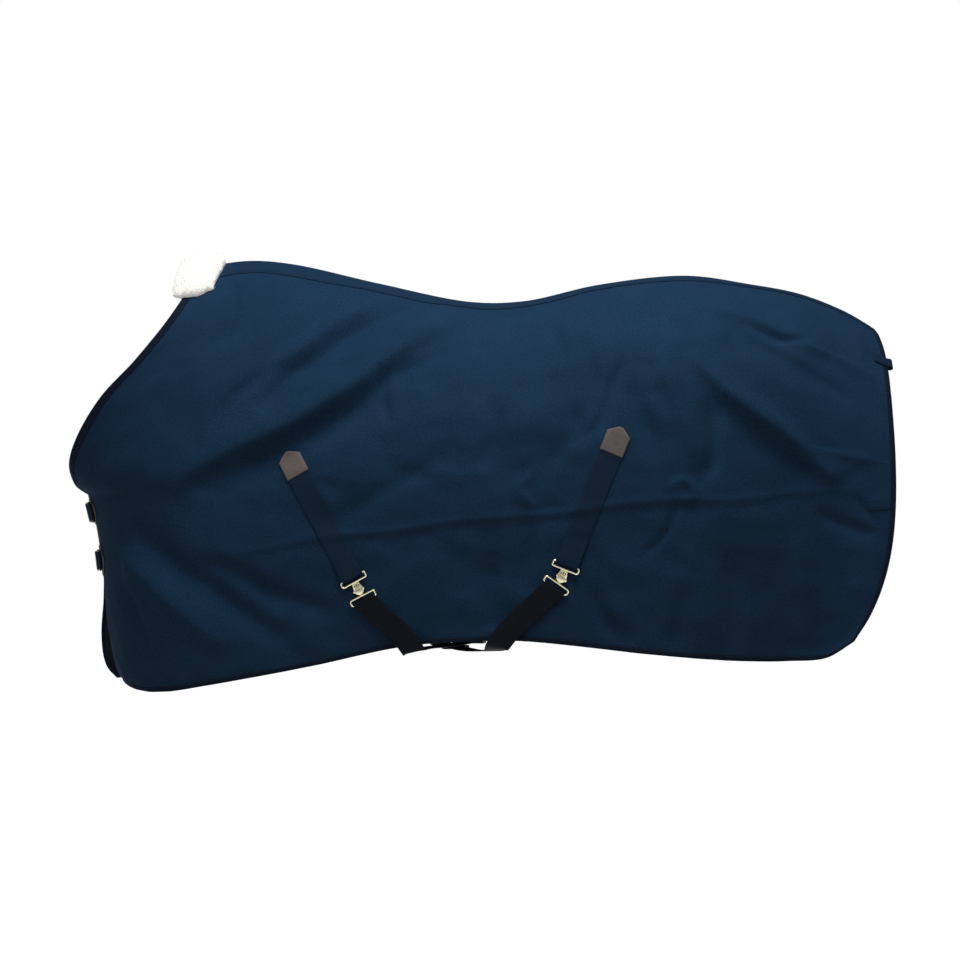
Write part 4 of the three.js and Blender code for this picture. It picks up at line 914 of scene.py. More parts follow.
# -------------------------------------------------------------- mesh helpers
def finished(name: str, mesh: bpy.types.Mesh, material: bpy.types.Material, body: str,
             nodes: tuple = ()) -> bpy.types.Object:
    """Makes an object of a mesh and ties it to the frame.

    Args:
        name: the piece's name.
        mesh: its mesh, in the row's metres.
        material: its finish.
        body: the body that it rides on.
        nodes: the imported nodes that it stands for.

    Returns:
        The object.
    """
    mesh.name = name
    mesh.materials.clear()
    mesh.materials.append(material)
    mesh.shade_smooth()
    piece = bpy.data.objects.new(name, mesh)
    bpy.context.scene.collection.objects.link(piece)
    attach(piece, body)
    if nodes:
        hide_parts(*nodes)
    log.info("%s: %d faces on %s", name, len(mesh.polygons), body)
    return piece


def thicken(piece: bpy.types.Object, thickness: float, offset: float = 0.0, edge: float = 0.0) -> None:
    """Gives a sheet its thickness, and soft edges.

    Args:
        piece: the sheet.
        thickness: in millimetres.
        offset: -1 grows inwards, 0 both ways, 1 outwards.
        edge: the radius of its edges, in millimetres.
    """
    wall = piece.modifiers.new("thickness", "SOLIDIFY")
    wall.thickness = thickness * MM
    wall.offset = offset
    wall.use_even_offset = True
    if edge:
        round_edges(piece, edge, 50)


def round_edges(piece: bpy.types.Object, edge: float, angle: float = 40, segments: int = 2) -> None:
    """Bevels the edges sharper than an angle in degrees."""
    bevel = piece.modifiers.new("edges", "BEVEL")
    bevel.width = edge * MM
    bevel.segments = segments
    bevel.limit_method = "ANGLE"
    bevel.angle_limit = math.radians(angle)
    bevel.harden_normals = False


def sheet_mesh(place: Placing, along: int, across: int, size: tuple[float, float]) -> bpy.types.Mesh:
    """A grid whose points are moved to their places, mapped in metres of cloth.

    Args:
        place: takes arrays s and t from 0 to 1 and returns places in millimetres.
        along: cells along s.
        across: cells along t.
        size: the cloth's length along s and width along t, in millimetres.

    Returns:
        The mesh, facing the way its places turn.
    """
    grid = bmesh.new()
    bmesh.ops.create_grid(grid, x_segments=along, y_segments=across, size=0.5)
    grid.verts.ensure_lookup_table()
    flat = np.array([v.co[:2] for v in grid.verts])
    lows, highs = flat.min(axis=0), flat.max(axis=0)
    share = (flat - lows) / (highs - lows)
    moved = place(share[:, 0], share[:, 1]) * MM
    layer = grid.loops.layers.uv.new("cloth")
    for face in grid.faces:
        for loop in face.loops:
            s, t = share[loop.vert.index]
            loop[layer].uv = (s * size[0] * MM, t * size[1] * MM)
    for vert, co in zip(grid.verts, moved):
        vert.co = co
    mesh = bpy.data.meshes.new("sheet")
    grid.to_mesh(mesh)
    grid.free()
    return mesh


def face_towards(mesh: bpy.types.Mesh, towards: Array) -> bpy.types.Mesh:
    """Turns a sheet over if its first faces look away from a direction."""
    mesh.update()
    normals = np.zeros(len(mesh.polygons) * 3)
    mesh.polygons.foreach_get("normal", normals)
    if normals.reshape(-1, 3).mean(axis=0) @ towards < 0:
        mesh.flip_normals()
    return mesh


def strip_piece(name: str, stations: Array, thickness: float, material: bpy.types.Material, body: str,
                nodes: tuple = (), edge: float = 0.5) -> bpy.types.Object:
    """A strap or patch through stations.

    Args:
        name: the piece's name.
        stations: an array (along, across, 3) of places on its middle layer.
        thickness: in millimetres.
        material: its finish.
        body: the body that it rides on.
        nodes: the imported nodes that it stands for.
        edge: the radius of its edges.

    Returns:
        The object.
    """
    rows, columns = stations.shape[:2]
    middle = stations[:, columns // 2]
    length = float(np.sum(np.linalg.norm(np.diff(middle, axis=0), axis=1)))
    width = float(np.linalg.norm(stations[0, 0] - stations[0, -1]))

    def place(s: Array, t: Array) -> Array:
        """The stations' own places."""
        return stations[np.rint(s * (rows - 1)).astype(int), np.rint(t * (columns - 1)).astype(int)]

    mesh = sheet_mesh(place, rows - 1, columns - 1, (length, width))
    piece = finished(name, mesh, material, body, nodes)
    thicken(piece, thickness, 0.0, edge)
    return piece


def curve_mesh(paths: list[tuple[Array, bool]], radius: float = 0.0, flat: float | None = None,
               taper: Array | None = None) -> bpy.types.Mesh:
    """Turns curves into a mesh: round wire along them, or a plate inside them.

    Args:
        paths: arrays of points with whether they close.
        radius: the wire's radius, or the plate's rounded edge.
        flat: half of the plate's thickness; None makes wire.
        taper: the wire's radius share at each point.

    Returns:
        The mesh, in the paths' own units.
    """
    curve = bpy.data.curves.new("path", "CURVE")
    curve.dimensions = "3D" if flat is None else "2D"
    curve.bevel_depth = radius
    curve.bevel_resolution = 4 if flat is None else 2
    curve.use_fill_caps = flat is None
    if flat is not None:
        curve.fill_mode = "BOTH"
        curve.extrude = flat - radius
        curve.offset = -radius
    for points, closed in paths:
        spline = curve.splines.new("POLY")
        spline.points.add(len(points) - 1)
        for k, (point, co) in enumerate(zip(spline.points, points)):
            point.co = (*co, 1.0)
            point.radius = 1.0 if taper is None else float(taper[k])
        spline.use_cyclic_u = closed
    holder = bpy.data.objects.new("path", curve)
    mesh = bpy.data.meshes.new_from_object(holder)
    bpy.data.objects.remove(holder)
    bpy.data.curves.remove(curve)
    return mesh


def merged(parts: list[tuple[bpy.types.Mesh, Matrix]]) -> bpy.types.Mesh:
    """Puts meshes, each with its matrix, into one."""
    whole = bmesh.new()
    for mesh, matrix in parts:
        mesh.transform(matrix)
        whole.from_mesh(mesh)
        bpy.data.meshes.remove(mesh)
    bmesh.ops.remove_doubles(whole, verts=whole.verts, dist=1e-7)
    bmesh.ops.recalc_face_normals(whole, faces=whole.faces)
    mesh = bpy.data.meshes.new("merged")
    whole.to_mesh(mesh)
    whole.free()
    return mesh


def arc(centre: tuple[float, float], radius: float, start: float, end: float, count: int = 6) -> list:
    """Points of an arc between two angles in degrees."""
    return [(centre[0] + radius * math.cos(math.radians(angle)), centre[1] + radius * math.sin(math.radians(angle)),
             0.0) for angle in np.linspace(start, end, count)]


def rounded_loop(low: float, high: float, half: float, corner: float, far_corner: float | None = None) -> Array:
    """The middle line of a wire loop between a = low and a = high."""
    far = corner if far_corner is None else far_corner
    return np.array(arc((high - far, -half + far), far, -90, 0) + arc((high - far, half - far), far, 0, 90)
                    + arc((low + corner, half - corner), corner, 90, 180)
                    + arc((low + corner, -half + corner), corner, 180, 270))


def plate_outline(half_widths: list[tuple[float, float]], steps: int = 6) -> Array:
    """A plate's smooth outline from half-widths along it."""
    ends = [(a, half, 0.0) for a, half in half_widths]
    ends += [(a, -half, 0.0) for a, half in reversed(half_widths)]
    closed = SmoothCurve(ends + [ends[0]])
    return closed.at(np.linspace(0, 1, steps * len(ends) + 1))[:-1]


def box_hole(low: float, high: float, centre: float, half: float) -> Array:
    """A slit's rounded outline."""
    end = min(half, (high - low) / 2) * 0.98
    return np.array(arc((low + end, centre), end, 90, 270, 5) + arc((high - end, centre), end, -90, 90, 5))


class Seams:
    """Rows of stitches, gathered by body and thread."""

    def __init__(self) -> None:
        """Makes one stitch from a sphere with few faces."""
        ball = bmesh.new()
        bmesh.ops.create_uvsphere(ball, u_segments=6, v_segments=4, radius=1.0)
        self.mesh = bpy.data.meshes.new("stitch")
        ball.to_mesh(self.mesh)
        ball.free()
        self.rows: dict[tuple[str, str], list[tuple[Array, Array, Array]]] = {}

    def add(self, thread: str, body: str, line: Array, out: Array, stitch: float = 3.4, gap: float = 1.3,
            thick: float = 0.42) -> None:
        """Lays stitches along a line.

        Args:
            thread: the thread's name.
            body: the body of the seam.
            line: places along the seam, on the cloth.
            out: outward directions there.
            stitch: a stitch's length.
            gap: the gap between stitches.
            thick: the thread's radius.
        """
        lengths = np.concatenate([[0.0], np.cumsum(np.linalg.norm(np.diff(line, axis=0), axis=1))])
        middles = np.arange(stitch / 2 + gap, lengths[-1] - stitch / 2, stitch + gap)
        if not len(middles):
            return

        def pick(values: Array, where: Array) -> Array:
            """Values at lengths along the seam."""
            return np.stack([np.interp(where, lengths, values[:, k]) for k in range(3)], axis=1)

        run = unit(pick(line, middles + stitch / 2) - pick(line, middles - stitch / 2))
        up = pick(out, middles)
        up = unit(up - run * np.sum(up * run, axis=1, keepdims=True))
        scales = np.tile([stitch / 2, thick, thick * 0.8], (len(middles), 1))
        basis = np.stack([run * scales[:, :1], np.cross(up, run) * scales[:, 1:2], up * scales[:, 2:]], axis=1)
        key = (thread, body)
        self.rows.setdefault(key, []).append((pick(line, middles) + up * thick * 0.35, basis, up))

    def build(self, threads: dict[str, bpy.types.Material], slots: dict[str, str]) -> None:
        """Makes one piece for each thread on each body."""
        count = len(self.mesh.vertices)
        shape = np.zeros(count * 3)
        self.mesh.vertices.foreach_get("co", shape)
        shape = shape.reshape(-1, 3)
        faces = [tuple(face.vertices) for face in self.mesh.polygons]
        for (thread, body), rows in self.rows.items():
            places = np.vstack([row[0] for row in rows])
            bases = np.vstack([row[1] for row in rows])
            verts = places[:, None] + np.einsum("vk,nkj->nvj", shape, bases)
            mesh = bpy.data.meshes.new("stitches")
            mesh.from_pydata((verts.reshape(-1, 3) * MM).tolist(), [],
                             [tuple(k * count + i for i in face) for k in range(len(places)) for face in faces])
            finished(f"stitches_{thread}_{body}", mesh, threads[thread], body)


SEAMS = Seams()


def seam_on_cloth(side: Side, us: Array, vs: Array, stand: float, body: str = "rug", thread: str = "navy",
                  **sizes: float) -> None:
    """A row of stitches along columns and rows of the cloth."""
    line = SURFACE.cloth(side, us, vs, stand)
    out = unit(SURFACE.cloth(side, us, vs, stand + 4) - line)
    SEAMS.add(thread, body, line, out, **sizes)


def seam_on_strip(stations: Array, column: int, thickness: float, body: str, thread: str = "navy",
                  rows: slice = slice(None), flip: float = 1.0, **sizes: float) -> None:
    """A row of stitches along one column of a strip's stations."""
    line = stations[rows, column]
    run = np.gradient(line, axis=0)
    beside = stations[rows, min(column + 1, stations.shape[1] - 1)] - stations[rows, max(column - 1, 0)]
    out = unit(np.cross(run, beside)) * flip
    SEAMS.add(thread, body, line + out * thickness / 2, out, **sizes)


# --------------------------------------------------------------------- cloth
@dataclass
class Cloth:
    """The canvas, the lining, the bindings and the tape over the spine."""

    finishes: Finishes
    columns: int = 270
    rows: int = 150
    lining_columns: int = 150
    lining_rows: int = 84

    @staticmethod
    def _front_band(v: Array) -> Array:
        """Width of the front binding as a share of the columns."""
        wide = NECK_BINDING_WIDTH / NECK_ALONG
        narrow = BINDING_WIDTH / SKIN_ALONG
        return mix(wide, narrow, smooth(v, NECK_SHARE - 0.05, NECK_SHARE + 0.01)) * 0.7

    def _panel(self, side: Side, stand: float, trim: float) -> Placing:
        """The place function of a panel that stops under its bindings."""
        def place(s: Array, t: Array) -> Array:
            """Places on the panel."""
            v = mix(0.0, 1 - trim * BINDING_WIDTH / SKIN_ACROSS, t)
            band = self._front_band(v) * trim
            spread = mix(s, s ** 1.25, 0.35)
            u = mix(band, 1 - trim * BINDING_WIDTH / SKIN_ALONG, spread)
            return SURFACE.cloth(side, u, v, stand)
        return place

    def panels(self, side: Side) -> list[bpy.types.Object]:
        """The canvas and the lining of one side."""
        canvas_mesh = face_towards(
            sheet_mesh(self._panel(side, 0.0, 0.6), self.columns, self.rows, (SKIN_ALONG, SKIN_ACROSS)),
            np.array([0, side.value, 0.2]))
        canvas = finished(f"canvas_{side.word}", canvas_mesh, self.finishes.canvas, "rug",
                          (f"shell_{side.word}",))
        thicken(canvas, CANVAS, -1.0)
        lining_mesh = face_towards(
            sheet_mesh(self._panel(side, -CANVAS - LAYER_GAP, 0.7), self.lining_columns, self.lining_rows,
                       (SKIN_ALONG, SKIN_ACROSS)), np.array([0, side.value, 0.2]))
        lining = finished(f"inner_lining_{side.word}", lining_mesh, self.finishes.lining, "rug",
                          (f"lining_{side.word}",))
        thicken(lining, LINING, -1.0)
        return [canvas, lining]

    def _folded(self, name: str, side: Side, cells: int, width: float, edge: Callable, length: float,
                node: str) -> bpy.types.Object:
        """A binding folded round an edge.

        Args:
            name: the piece's name.
            side: near or far.
            cells: cells along it.
            width: its width in millimetres.
            edge: takes shares along and millimetres inwards, and gives columns and rows.
            length: its length in millimetres.
            node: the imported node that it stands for.

        Returns:
            The object.
        """
        high, low = 0.75, INSIDE - 0.75
        middle, radius = (high + low) / 2, (high - low) / 2
        bend = [(-math.sin(math.radians(a)) * 1.6, middle + math.cos(math.radians(a)) * radius)
                for a in np.linspace(0, 180, 9)]
        profile = np.array([(width, high - 0.25), (width * 0.66, high), (width * 0.33, high)] + bend
                           + [(width * 0.33, low), (width * 0.66, low), (width, low + 0.25)])

        def place(s: Array, t: Array) -> Array:
            """Places round the edge."""
            k = np.rint(t * (len(profile) - 1)).astype(int)
            u, v = edge(s, profile[k, 0])
            return SURFACE.cloth(side, u, v, profile[k, 1])

        mesh = sheet_mesh(place, cells, len(profile) - 1, (length, 2 * width + 8))
        piece = finished(name, mesh, self.finishes.binding, "rug", (node,))
        thicken(piece, 0.7, 0.0)
        return piece

    def bindings(self, side: Side) -> None:
        """The four bound edges of one side, with their stitches."""
        word = side.word
        seat = 4 / SKIN_ACROSS
        neck = lambda s, w: (w / NECK_ALONG, mix(0.0, NECK_SHARE - seat, s))
        front = lambda s, w: (w / SKIN_ALONG, mix(NECK_SHARE - seat, 1.0, s))
        hem = lambda s, w: (s, 1 - w / SKIN_ACROSS)
        rear = lambda s, w: (1 - w / SKIN_ALONG, mix(0.0, 1.0, s))
        for name, edge, cells, width, length in (
                ("neck", neck, 110, NECK_BINDING_WIDTH, 620), ("front", front, 80, BINDING_WIDTH, 420),
                ("hem", hem, 300, BINDING_WIDTH, 1720), ("rear", rear, 150, BINDING_WIDTH, 800)):
            self._folded(f"{name}_edge_{word}", side, cells, width, edge, length, f"{name}_binding_{word}")
            s = np.linspace(0.004, 0.996, cells * 2)
            seam_on_cloth(side, *edge(s, width * 0.8), 1.1)
        s = np.linspace(0.01, 0.985, 600)
        seam_on_cloth(side, *hem(s, 21.0), 0.0)
        seam_on_cloth(side, *rear(np.linspace(0.02, 0.985, 300), 17.0), 0.0)

    def spine(self) -> bpy.types.Object:
        """The tape over the spine, with two rows of stitches along each edge."""
        half, cells = 45.0, 12

        def place(s: Array, t: Array) -> Array:
            """Places across the spine."""
            offset = (2 * t - 1) * half
            u = mix(NECK_BINDING_WIDTH / NECK_ALONG, 1 - BINDING_WIDTH / SKIN_ALONG, s)
            near = SURFACE.cloth(Side.NEAR, u, np.abs(offset) / SKIN_ACROSS, 1.2)
            far = SURFACE.cloth(Side.FAR, u, np.abs(offset) / SKIN_ACROSS, 1.2)
            return np.where((offset < 0)[:, None], near, far)

        mesh = face_towards(sheet_mesh(place, 220, cells, (1700, 2 * half)), np.array([0, 0, 1.0]))
        piece = finished("spine_tape_band", mesh, self.finishes.tape, "rug", ("spine_tape",))
        thicken(piece, 1.2, 0.0, 0.4)
        s = np.linspace(0.02, 0.985, 500)
        for side in Side:
            for inset in (4.0, 10.0):
                seam_on_cloth(side, s, np.full_like(s, (half - inset) / SKIN_ACROSS), 1.9)
        return piece

    def shaping_seams(self) -> None:
        """The darts over the croup, the rear panel's seam and a short seam at the low front corner."""
        seams = (((644, -92), (733, -112), (778, -123), (840, -155), (873, -179)),
                 ((704, -328), (768, -338), (815, -343), (878, -361)),
                 ((-764, -702), (-737, -755), (-712, -808)))
        for side in Side:
            for path in seams:
                line = SmoothCurve([(x, z, 0.0) for x, z in path]).along(np.linspace(0, 1, 60))
                spot = Spot.at_flank(side, path[1][0] / RUG_LENGTH, path[1][1] / RUG_DROP, DOWN)
                target = np.stack([line[:, 0], np.full(len(line), spot.origin[1]), line[:, 1]], axis=1)
                off = target - spot.origin
                u, v = spot.uv_under(off @ spot.along, off @ spot.across)
                seam_on_cloth(side, u, v, 0.0)
                seam_on_cloth(side, u, v + 7 / SKIN_ACROSS, 0.0)

    def build(self) -> None:
        """Makes all the cloth."""
        self.spine()
        for side in Side:
            self.panels(side)
            self.bindings(side)
        self.shaping_seams()


# -------------------------------------------------------------------- fleece
@dataclass
class WitherFleece:
    """The pad of deep pile over the withers, with a fringe of loose curls."""

    finishes: Finishes
    front: float = 40.0
    back: float = 58.0
    spread: float = 98.0
    pile: float = 31.0
    low: float = BINDING_STAND + SEAT_GAP + 1.2
    curls: int = 5200

    def _place(self, s: Array, t: Array, stand: Array) -> Array:
        """Places on the withers, ahead of the neck edge as well as behind it."""
        across = 2 * t - 1
        back = mix(-self.front, self.back, s)
        v = np.abs(across) * self.spread / SKIN_ACROSS
        places = []
        for side in Side:
            at = SURFACE.skin(side, np.maximum(back, 0.2) / NECK_ALONG, v, stand)
            behind = SURFACE.skin(side, np.full_like(back, 20 / NECK_ALONG), v, stand)
            ahead = unit(behind - at) * np.minimum(back, 0)[:, None]
            places.append(at + ahead)
        return np.where((across < 0)[:, None], places[0], places[1])

    def _crown(self, s: Array, t: Array) -> Array:
        """Height of the pile, round at its border."""
        x, y = np.abs(2 * s - 1), np.abs(2 * t - 1)
        return np.sqrt(np.clip(1 - x ** 5, 0, 1)) * np.sqrt(np.clip(1 - y ** 6, 0, 1))

    @staticmethod
    def _rounded(s: Array, t: Array, waver: Array) -> tuple[Array, Array]:
        """Rounds the pad's corners, and leans its lower ends back along the neck edge."""
        x, y = 2 * s - 1, 2 * t - 1
        edge = 1 + 0.02 * waver
        x, y = x * np.sqrt(1 - 0.2 * y * y) * edge, y * np.sqrt(1 - 0.24 * x * x) * edge
        return 0.5 + x / 2 + 0.13 * y ** 4, 0.5 + y / 2

    def build(self) -> bpy.types.Object:
        """Makes the pad and its curls."""
        noises = [Noise(seed, 96) for seed in (3, 7, 11)]

        def top(s: Array, t: Array) -> Array:
            """The tufted face."""
            a, b = s * (self.front + self.back), t * 2 * self.spread
            crown = self._crown(s, t)
            lump = (2.6 * noises[0].at(a, b, 17) + 2.2 * np.abs(noises[1].at(a, b, 7.5))
                    + 1.3 * noises[2].at(a, b, 3.2))
            stand = self.low + crown * (self.pile - 5 + lump)
            return self._place(*self._rounded(s, t, noises[0].at(a + 300, b, 11)), stand)

        def under(s: Array, t: Array) -> Array:
            """The backing."""
            a, b = s * (self.front + self.back), t * 2 * self.spread
            return self._place(*self._rounded(s, t, noises[0].at(a + 300, b, 11)), np.full_like(s, self.low))

        cells = (84, 150)
        size = (self.front + self.back, 2 * self.spread)
        pad = bmesh.new()
        for mesh in [sheet_mesh(face, *cells, size) for face in (top, under)]:
            pad.from_mesh(mesh)
            bpy.data.meshes.remove(mesh)
        bmesh.ops.remove_doubles(pad, verts=pad.verts, dist=2e-5)
        bmesh.ops.recalc_face_normals(pad, faces=pad.faces)
        mesh = bpy.data.meshes.new("fleece")
        pad.to_mesh(mesh)
        pad.free()
        piece = finished("fleece_pad", mesh, self.finishes.fleece, "rug", ("wither_fleece",))
        self._fringe(top)
        return piece

    def _fringe(self, top: Placing) -> None:
        """Short bent curls all over the pad."""
        cone = bmesh.new()
        bmesh.ops.create_cone(cone, cap_ends=True, segments=4, radius1=0.75, radius2=0.2, depth=1.0)
        bmesh.ops.subdivide_edges(cone, edges=[e for e in cone.edges if abs(e.verts[0].co.z - e.verts[1].co.z) > 0.5],
                                  cuts=2)
        shape = np.array([v.co for v in cone.verts])
        cone.verts.index_update()
        faces = [tuple(v.index for v in face.verts) for face in cone.faces]
        cone.free()
        rng = np.random.default_rng(17)
        s, t = rng.uniform(0.01, 0.99, self.curls), rng.uniform(0.01, 0.99, self.curls)
        at = top(s, t)
        step = 0.006
        out = unit(np.cross(top(np.clip(s + step, 0, 1), t) - at, top(s, np.clip(t + step, 0, 1)) - at))
        out *= np.where(out[:, 2:] < 0, -1.0, 1.0)
        lean = unit(out + rng.normal(0, 0.55, out.shape))
        beside = unit(np.cross(lean, rng.normal(0, 1, out.shape)))
        other = np.cross(lean, beside)
        length = rng.uniform(4.5, 8.0, self.curls)
        bend = rng.uniform(0.15, 0.6, self.curls)
        high = shape[:, 2] + 0.5
        curve = np.sin(high * math.pi * 0.9)
        verts = (at[:, None] + lean[:, None] * ((high - 0.25)[None, :, None] * length[:, None, None])
                 + beside[:, None] * (shape[None, :, :1] + (curve[None, :] * (bend * length)[:, None])[..., None])
                 + other[:, None] * shape[None, :, 1:2])
        count = len(shape)
        mesh = bpy.data.meshes.new("curls")
        mesh.from_pydata((verts.reshape(-1, 3) * MM).tolist(), [],
                         [tuple(k * count + i for i in face) for k in range(self.curls) for face in faces])
        finished("fleece_curls", mesh, self.finishes.fleece, "rug")


# ----------------------------------------------------------------- surcingles
@dataclass
class Surcingle:
    """One belly strap with its clip: the sizes are in millimetres and degrees."""

    word: str
    clip: tuple[float, float]
    slant: float
    hook_slant: float
    run_slant: float
    patch_place: float
    near_u: float
    far_u: float
    lows: tuple[float, float, float]
    drift: float
    hem_distance: float
    slider_share: float
    finishes: Finishes

    def __post_init__(self) -> None:
        """Finds the frames of the clip and of the hook."""
        self.plate = Spot.at_flank(Side.NEAR, *self.clip, self._slanted(self.slant))
        self.hook = self.plate.turned(self._slanted(self.hook_slant), NECK_PLACE)
        run = self._slanted(self.run_slant)
        self.run = unit(run - self.plate.normal * (run @ self.plate.normal))

    @staticmethod
    def _slanted(angle: float) -> Array:
        """A direction down the flank, turned by an angle."""
        return np.array([math.sin(math.radians(angle)), 0.0, -math.cos(math.radians(angle))])

    @staticmethod
    def _round_rail(place: float, way: float, count: int = 9) -> list[tuple[float, float]]:
        """A half turn of a strap round a rail: pairs (a, n)."""
        return [(place + way * math.sin(angle) * LOOP_REACH, CLIP_STAND - math.cos(angle) * LOOP_REACH)
                for angle in np.linspace(0, math.pi, count)]

    @staticmethod
    def _ring(rails: tuple[float, float]) -> bpy.types.Mesh:
        """The wire ring between two rails."""
        loop = rounded_loop(rails[0], rails[1], RING_WIDTH / 2 - WIRE / 2, 4.0)
        return curve_mesh([(loop, True)], WIRE / 2)

    def _clip_plate(self) -> None:
        """The half with the slotted plate, and a black sheet behind it that is painted shadow."""
        holes = [box_hole(6, 11, -5, 1.0), box_hole(4.5, 13, 0, 1.0), box_hole(6, 11, 5, 1.0),
                 np.array([(a, b, 0.0) for b, a in ((-5, 16.5), (5, 16.5), (5, 23.5), (-5, 23.5))])]
        edge = plate_outline([(0, 7.2), (6, 8.4), (14, 10.2), (22, 10.4), (27, 7)])
        plate = curve_mesh([(edge, True)] + [(hole, True) for hole in holes], 0.35, PLATE / 2)
        ring = self._ring((-HIDDEN_RAIL, 0.0))
        mesh = merged([(ring, self.plate.matrix(n=CLIP_STAND)), (plate, self.plate.matrix(n=CLIP_STAND))])
        finished(f"{self.word}_plate_half", mesh, self.finishes.brass, "rug", (f"{self.word}_clip_plate",))
        # Painted shadow: a black sheet a little larger than the plate, just behind it, stands in for the shade behind
        # the plate.
        shadow = curve_mesh([(plate_outline([(-1, 8.4), (6, 9.8), (14, 11.6), (22, 11.8), (28.4, 8.2)]), True)],
                            0.3, 0.6)
        mesh = merged([(shadow, self.plate.matrix(n=CLIP_STAND - 1.9))])
        finished(f"{self.word}_plate_backing", mesh, self.finishes.black_webbing, "rug")

    def _clip_hook(self) -> None:
        """The half with the mushroom-shaped hook."""
        body = f"{self.word}_surcingle"
        head = plate_outline([(-4, 9.5), (-3, 12.5), (1.5, 12.5), (2.5, 9.2), (6, 7.8), (8.4, 4.8), (9.4, 1.6)])
        parts = [(curve_mesh([(head, True)], 0.5, 1.1), self.hook.matrix(n=9.5))]
        neck, stem, foot = (-2, 2, 3, 2.8, 8.8), (-2, 15.1, 4.2, 2.6, 4.6), (11.5, 14.7, 10, 2.9, 5.5)
        for low, high, half, bottom, top in (neck, stem, foot):
            corners = np.array([(low, -half, 0.0), (high, -half, 0.0), (high, half, 0.0), (low, half, 0.0)])
            parts.append((curve_mesh([(corners, True)], 0.3, (top - bottom) / 2),
                          self.hook.matrix(n=(top + bottom) / 2)))
        parts.append((self._ring((LOWER_RAIL - NECK_PLACE, LOWER_RAIL - NECK_PLACE + HIDDEN_RAIL)),
                      self.hook.matrix(n=CLIP_STAND)))
        mesh = merged(parts)
        finished(f"{self.word}_hook_half", mesh, self.finishes.brass, body, (f"{self.word}_clip_hook",))

    def _upper_strap(self) -> None:
        """The strap from the patch to the clip, turned back under itself."""
        behind = CLIP_STAND - LOOP_REACH
        length = self.patch_place + PATCH_POINT
        profile = [(-HIDDEN_RAIL - 26, behind), (-HIDDEN_RAIL - 12, behind)]
        profile += self._round_rail(-HIDDEN_RAIL, 1.0)
        over = behind + STRAP + 0.6
        for back in np.linspace(10, length - 12, 34)[1:]:
            if back < 32:
                stand = mix(CLIP_STAND + LOOP_REACH, over, float(smooth(back, 0, 32)))
            else:
                stand = mix(over, STRAP_STAND + STRAP / 2, float(smooth(back, 32, 62)))
            profile.append((-HIDDEN_RAIL - back, stand))
        profile = np.array(profile)
        across = np.linspace(-STRAP_WIDTH / 2, STRAP_WIDTH / 2, 9)
        a, b = (grid.ravel() for grid in np.meshgrid(profile[:, 0], across, indexing="ij"))
        n = np.repeat(profile[:, 1], len(across))
        stations = self.plate.draped(a, b, n, 40, 90).reshape(len(profile), len(across), 3)
        strip_piece(f"{self.word}_upper_webbing", stations, STRAP, self.finishes.webbing, "rug",
                    (f"{self.word}_strap_upper",))
        rows = slice(13, len(profile) - 1)
        for edge, step in ((0, 1), (len(across) - 1, -1)):
            beside = mix(stations[:, edge], stations[:, edge + step], 0.45)
            lines = np.stack([stations[:, edge], beside, stations[:, edge + step]], axis=1)
            seam_on_strip(lines, 1, STRAP, "rug", rows=rows, flip=self._outwards(lines[rows], self.plate.normal))
        self._box_stitch(self.plate, -62, -34, 18, over + STRAP / 2)

    @staticmethod
    def _outwards(lines: Array, normal: Array) -> float:
        """1 if a strip's own direction looks along a normal, else -1."""
        run = lines[-1, 1] - lines[0, 1]
        beside = lines[0, -1] - lines[0, 0]
        return 1.0 if np.cross(run, beside) @ normal > 0 else -1.0

    def _box_stitch(self, spot: Spot, low: float, high: float, half: float, stand: float) -> None:
        """A stitched box with a cross in it."""
        corners = ((low, -half), (low, half), (high, half), (high, -half), (low, -half), (high, half),
                   (low, half), (high, -half))
        for k in range(len(corners) - 1):
            if k == 5:
                continue
            share = np.linspace(0, 1, 20)
            a = mix(corners[k][0], corners[k + 1][0], share)
            b = mix(corners[k][1], corners[k + 1][1], share)
            lift = np.where(a < -52, stand - 0.35, stand)
            line = spot.draped(a, b, lift, 40, 90)
            SEAMS.add("navy", "rug", line, np.tile(spot.normal, (len(line), 1)))

    def _near_patch(self) -> None:
        """The pointed leather patch over the strap's sewn end."""
        u, v = self.plate.uv_under(-self.patch_place, 0)
        spot = Spot.on_skin(Side.NEAR, float(u[0]), float(v[0]), self._slanted(self.slant))
        low = STRAP_STAND + STRAP + 0.3
        stations = self._patch(spot, -1.0, PATCH_WALL, PATCH_POINT, PATCH_WIDTH, low, 0.0)
        self._patch_piece(f"{self.word}_leather_near", spot, stations, f"{self.word}_patch_near")

    @staticmethod
    def _patch(spot: Spot, way: float, wall: float, point: float, width: float, low: float,
               start: float) -> Array:
        """Stations of a patch with a point, raised over the strap's edges.

        Args:
            spot: the frame that it starts from.
            way: -1 if it grows against the frame's direction, else 1.
            wall: length of its parallel part.
            point: length of its point.
            width: its width.
            low: stand of its underside.
            start: where it starts.

        Returns:
            The stations, (along, across, 3).
        """
        s, t = (grid.ravel() for grid in np.meshgrid(np.linspace(0, 1, 31), np.linspace(0, 1, 17), indexing="ij"))
        back = s * (wall + point)
        narrow = np.where(back < wall, 1.0, 1 - 0.86 * (back - wall) / point)
        b = (t - 0.5) * width * narrow
        rim = np.minimum(np.minimum(back, wall + point - back), width * narrow / 2 - np.abs(b))
        stand = low + LEATHER / 2 - 0.7 * (1 - smooth(rim, 0, 3.5)) + 0.5 * smooth(rim, 3, 9)
        return spot.on_cloth(start + way * back, b, stand).reshape(31, 17, 3)

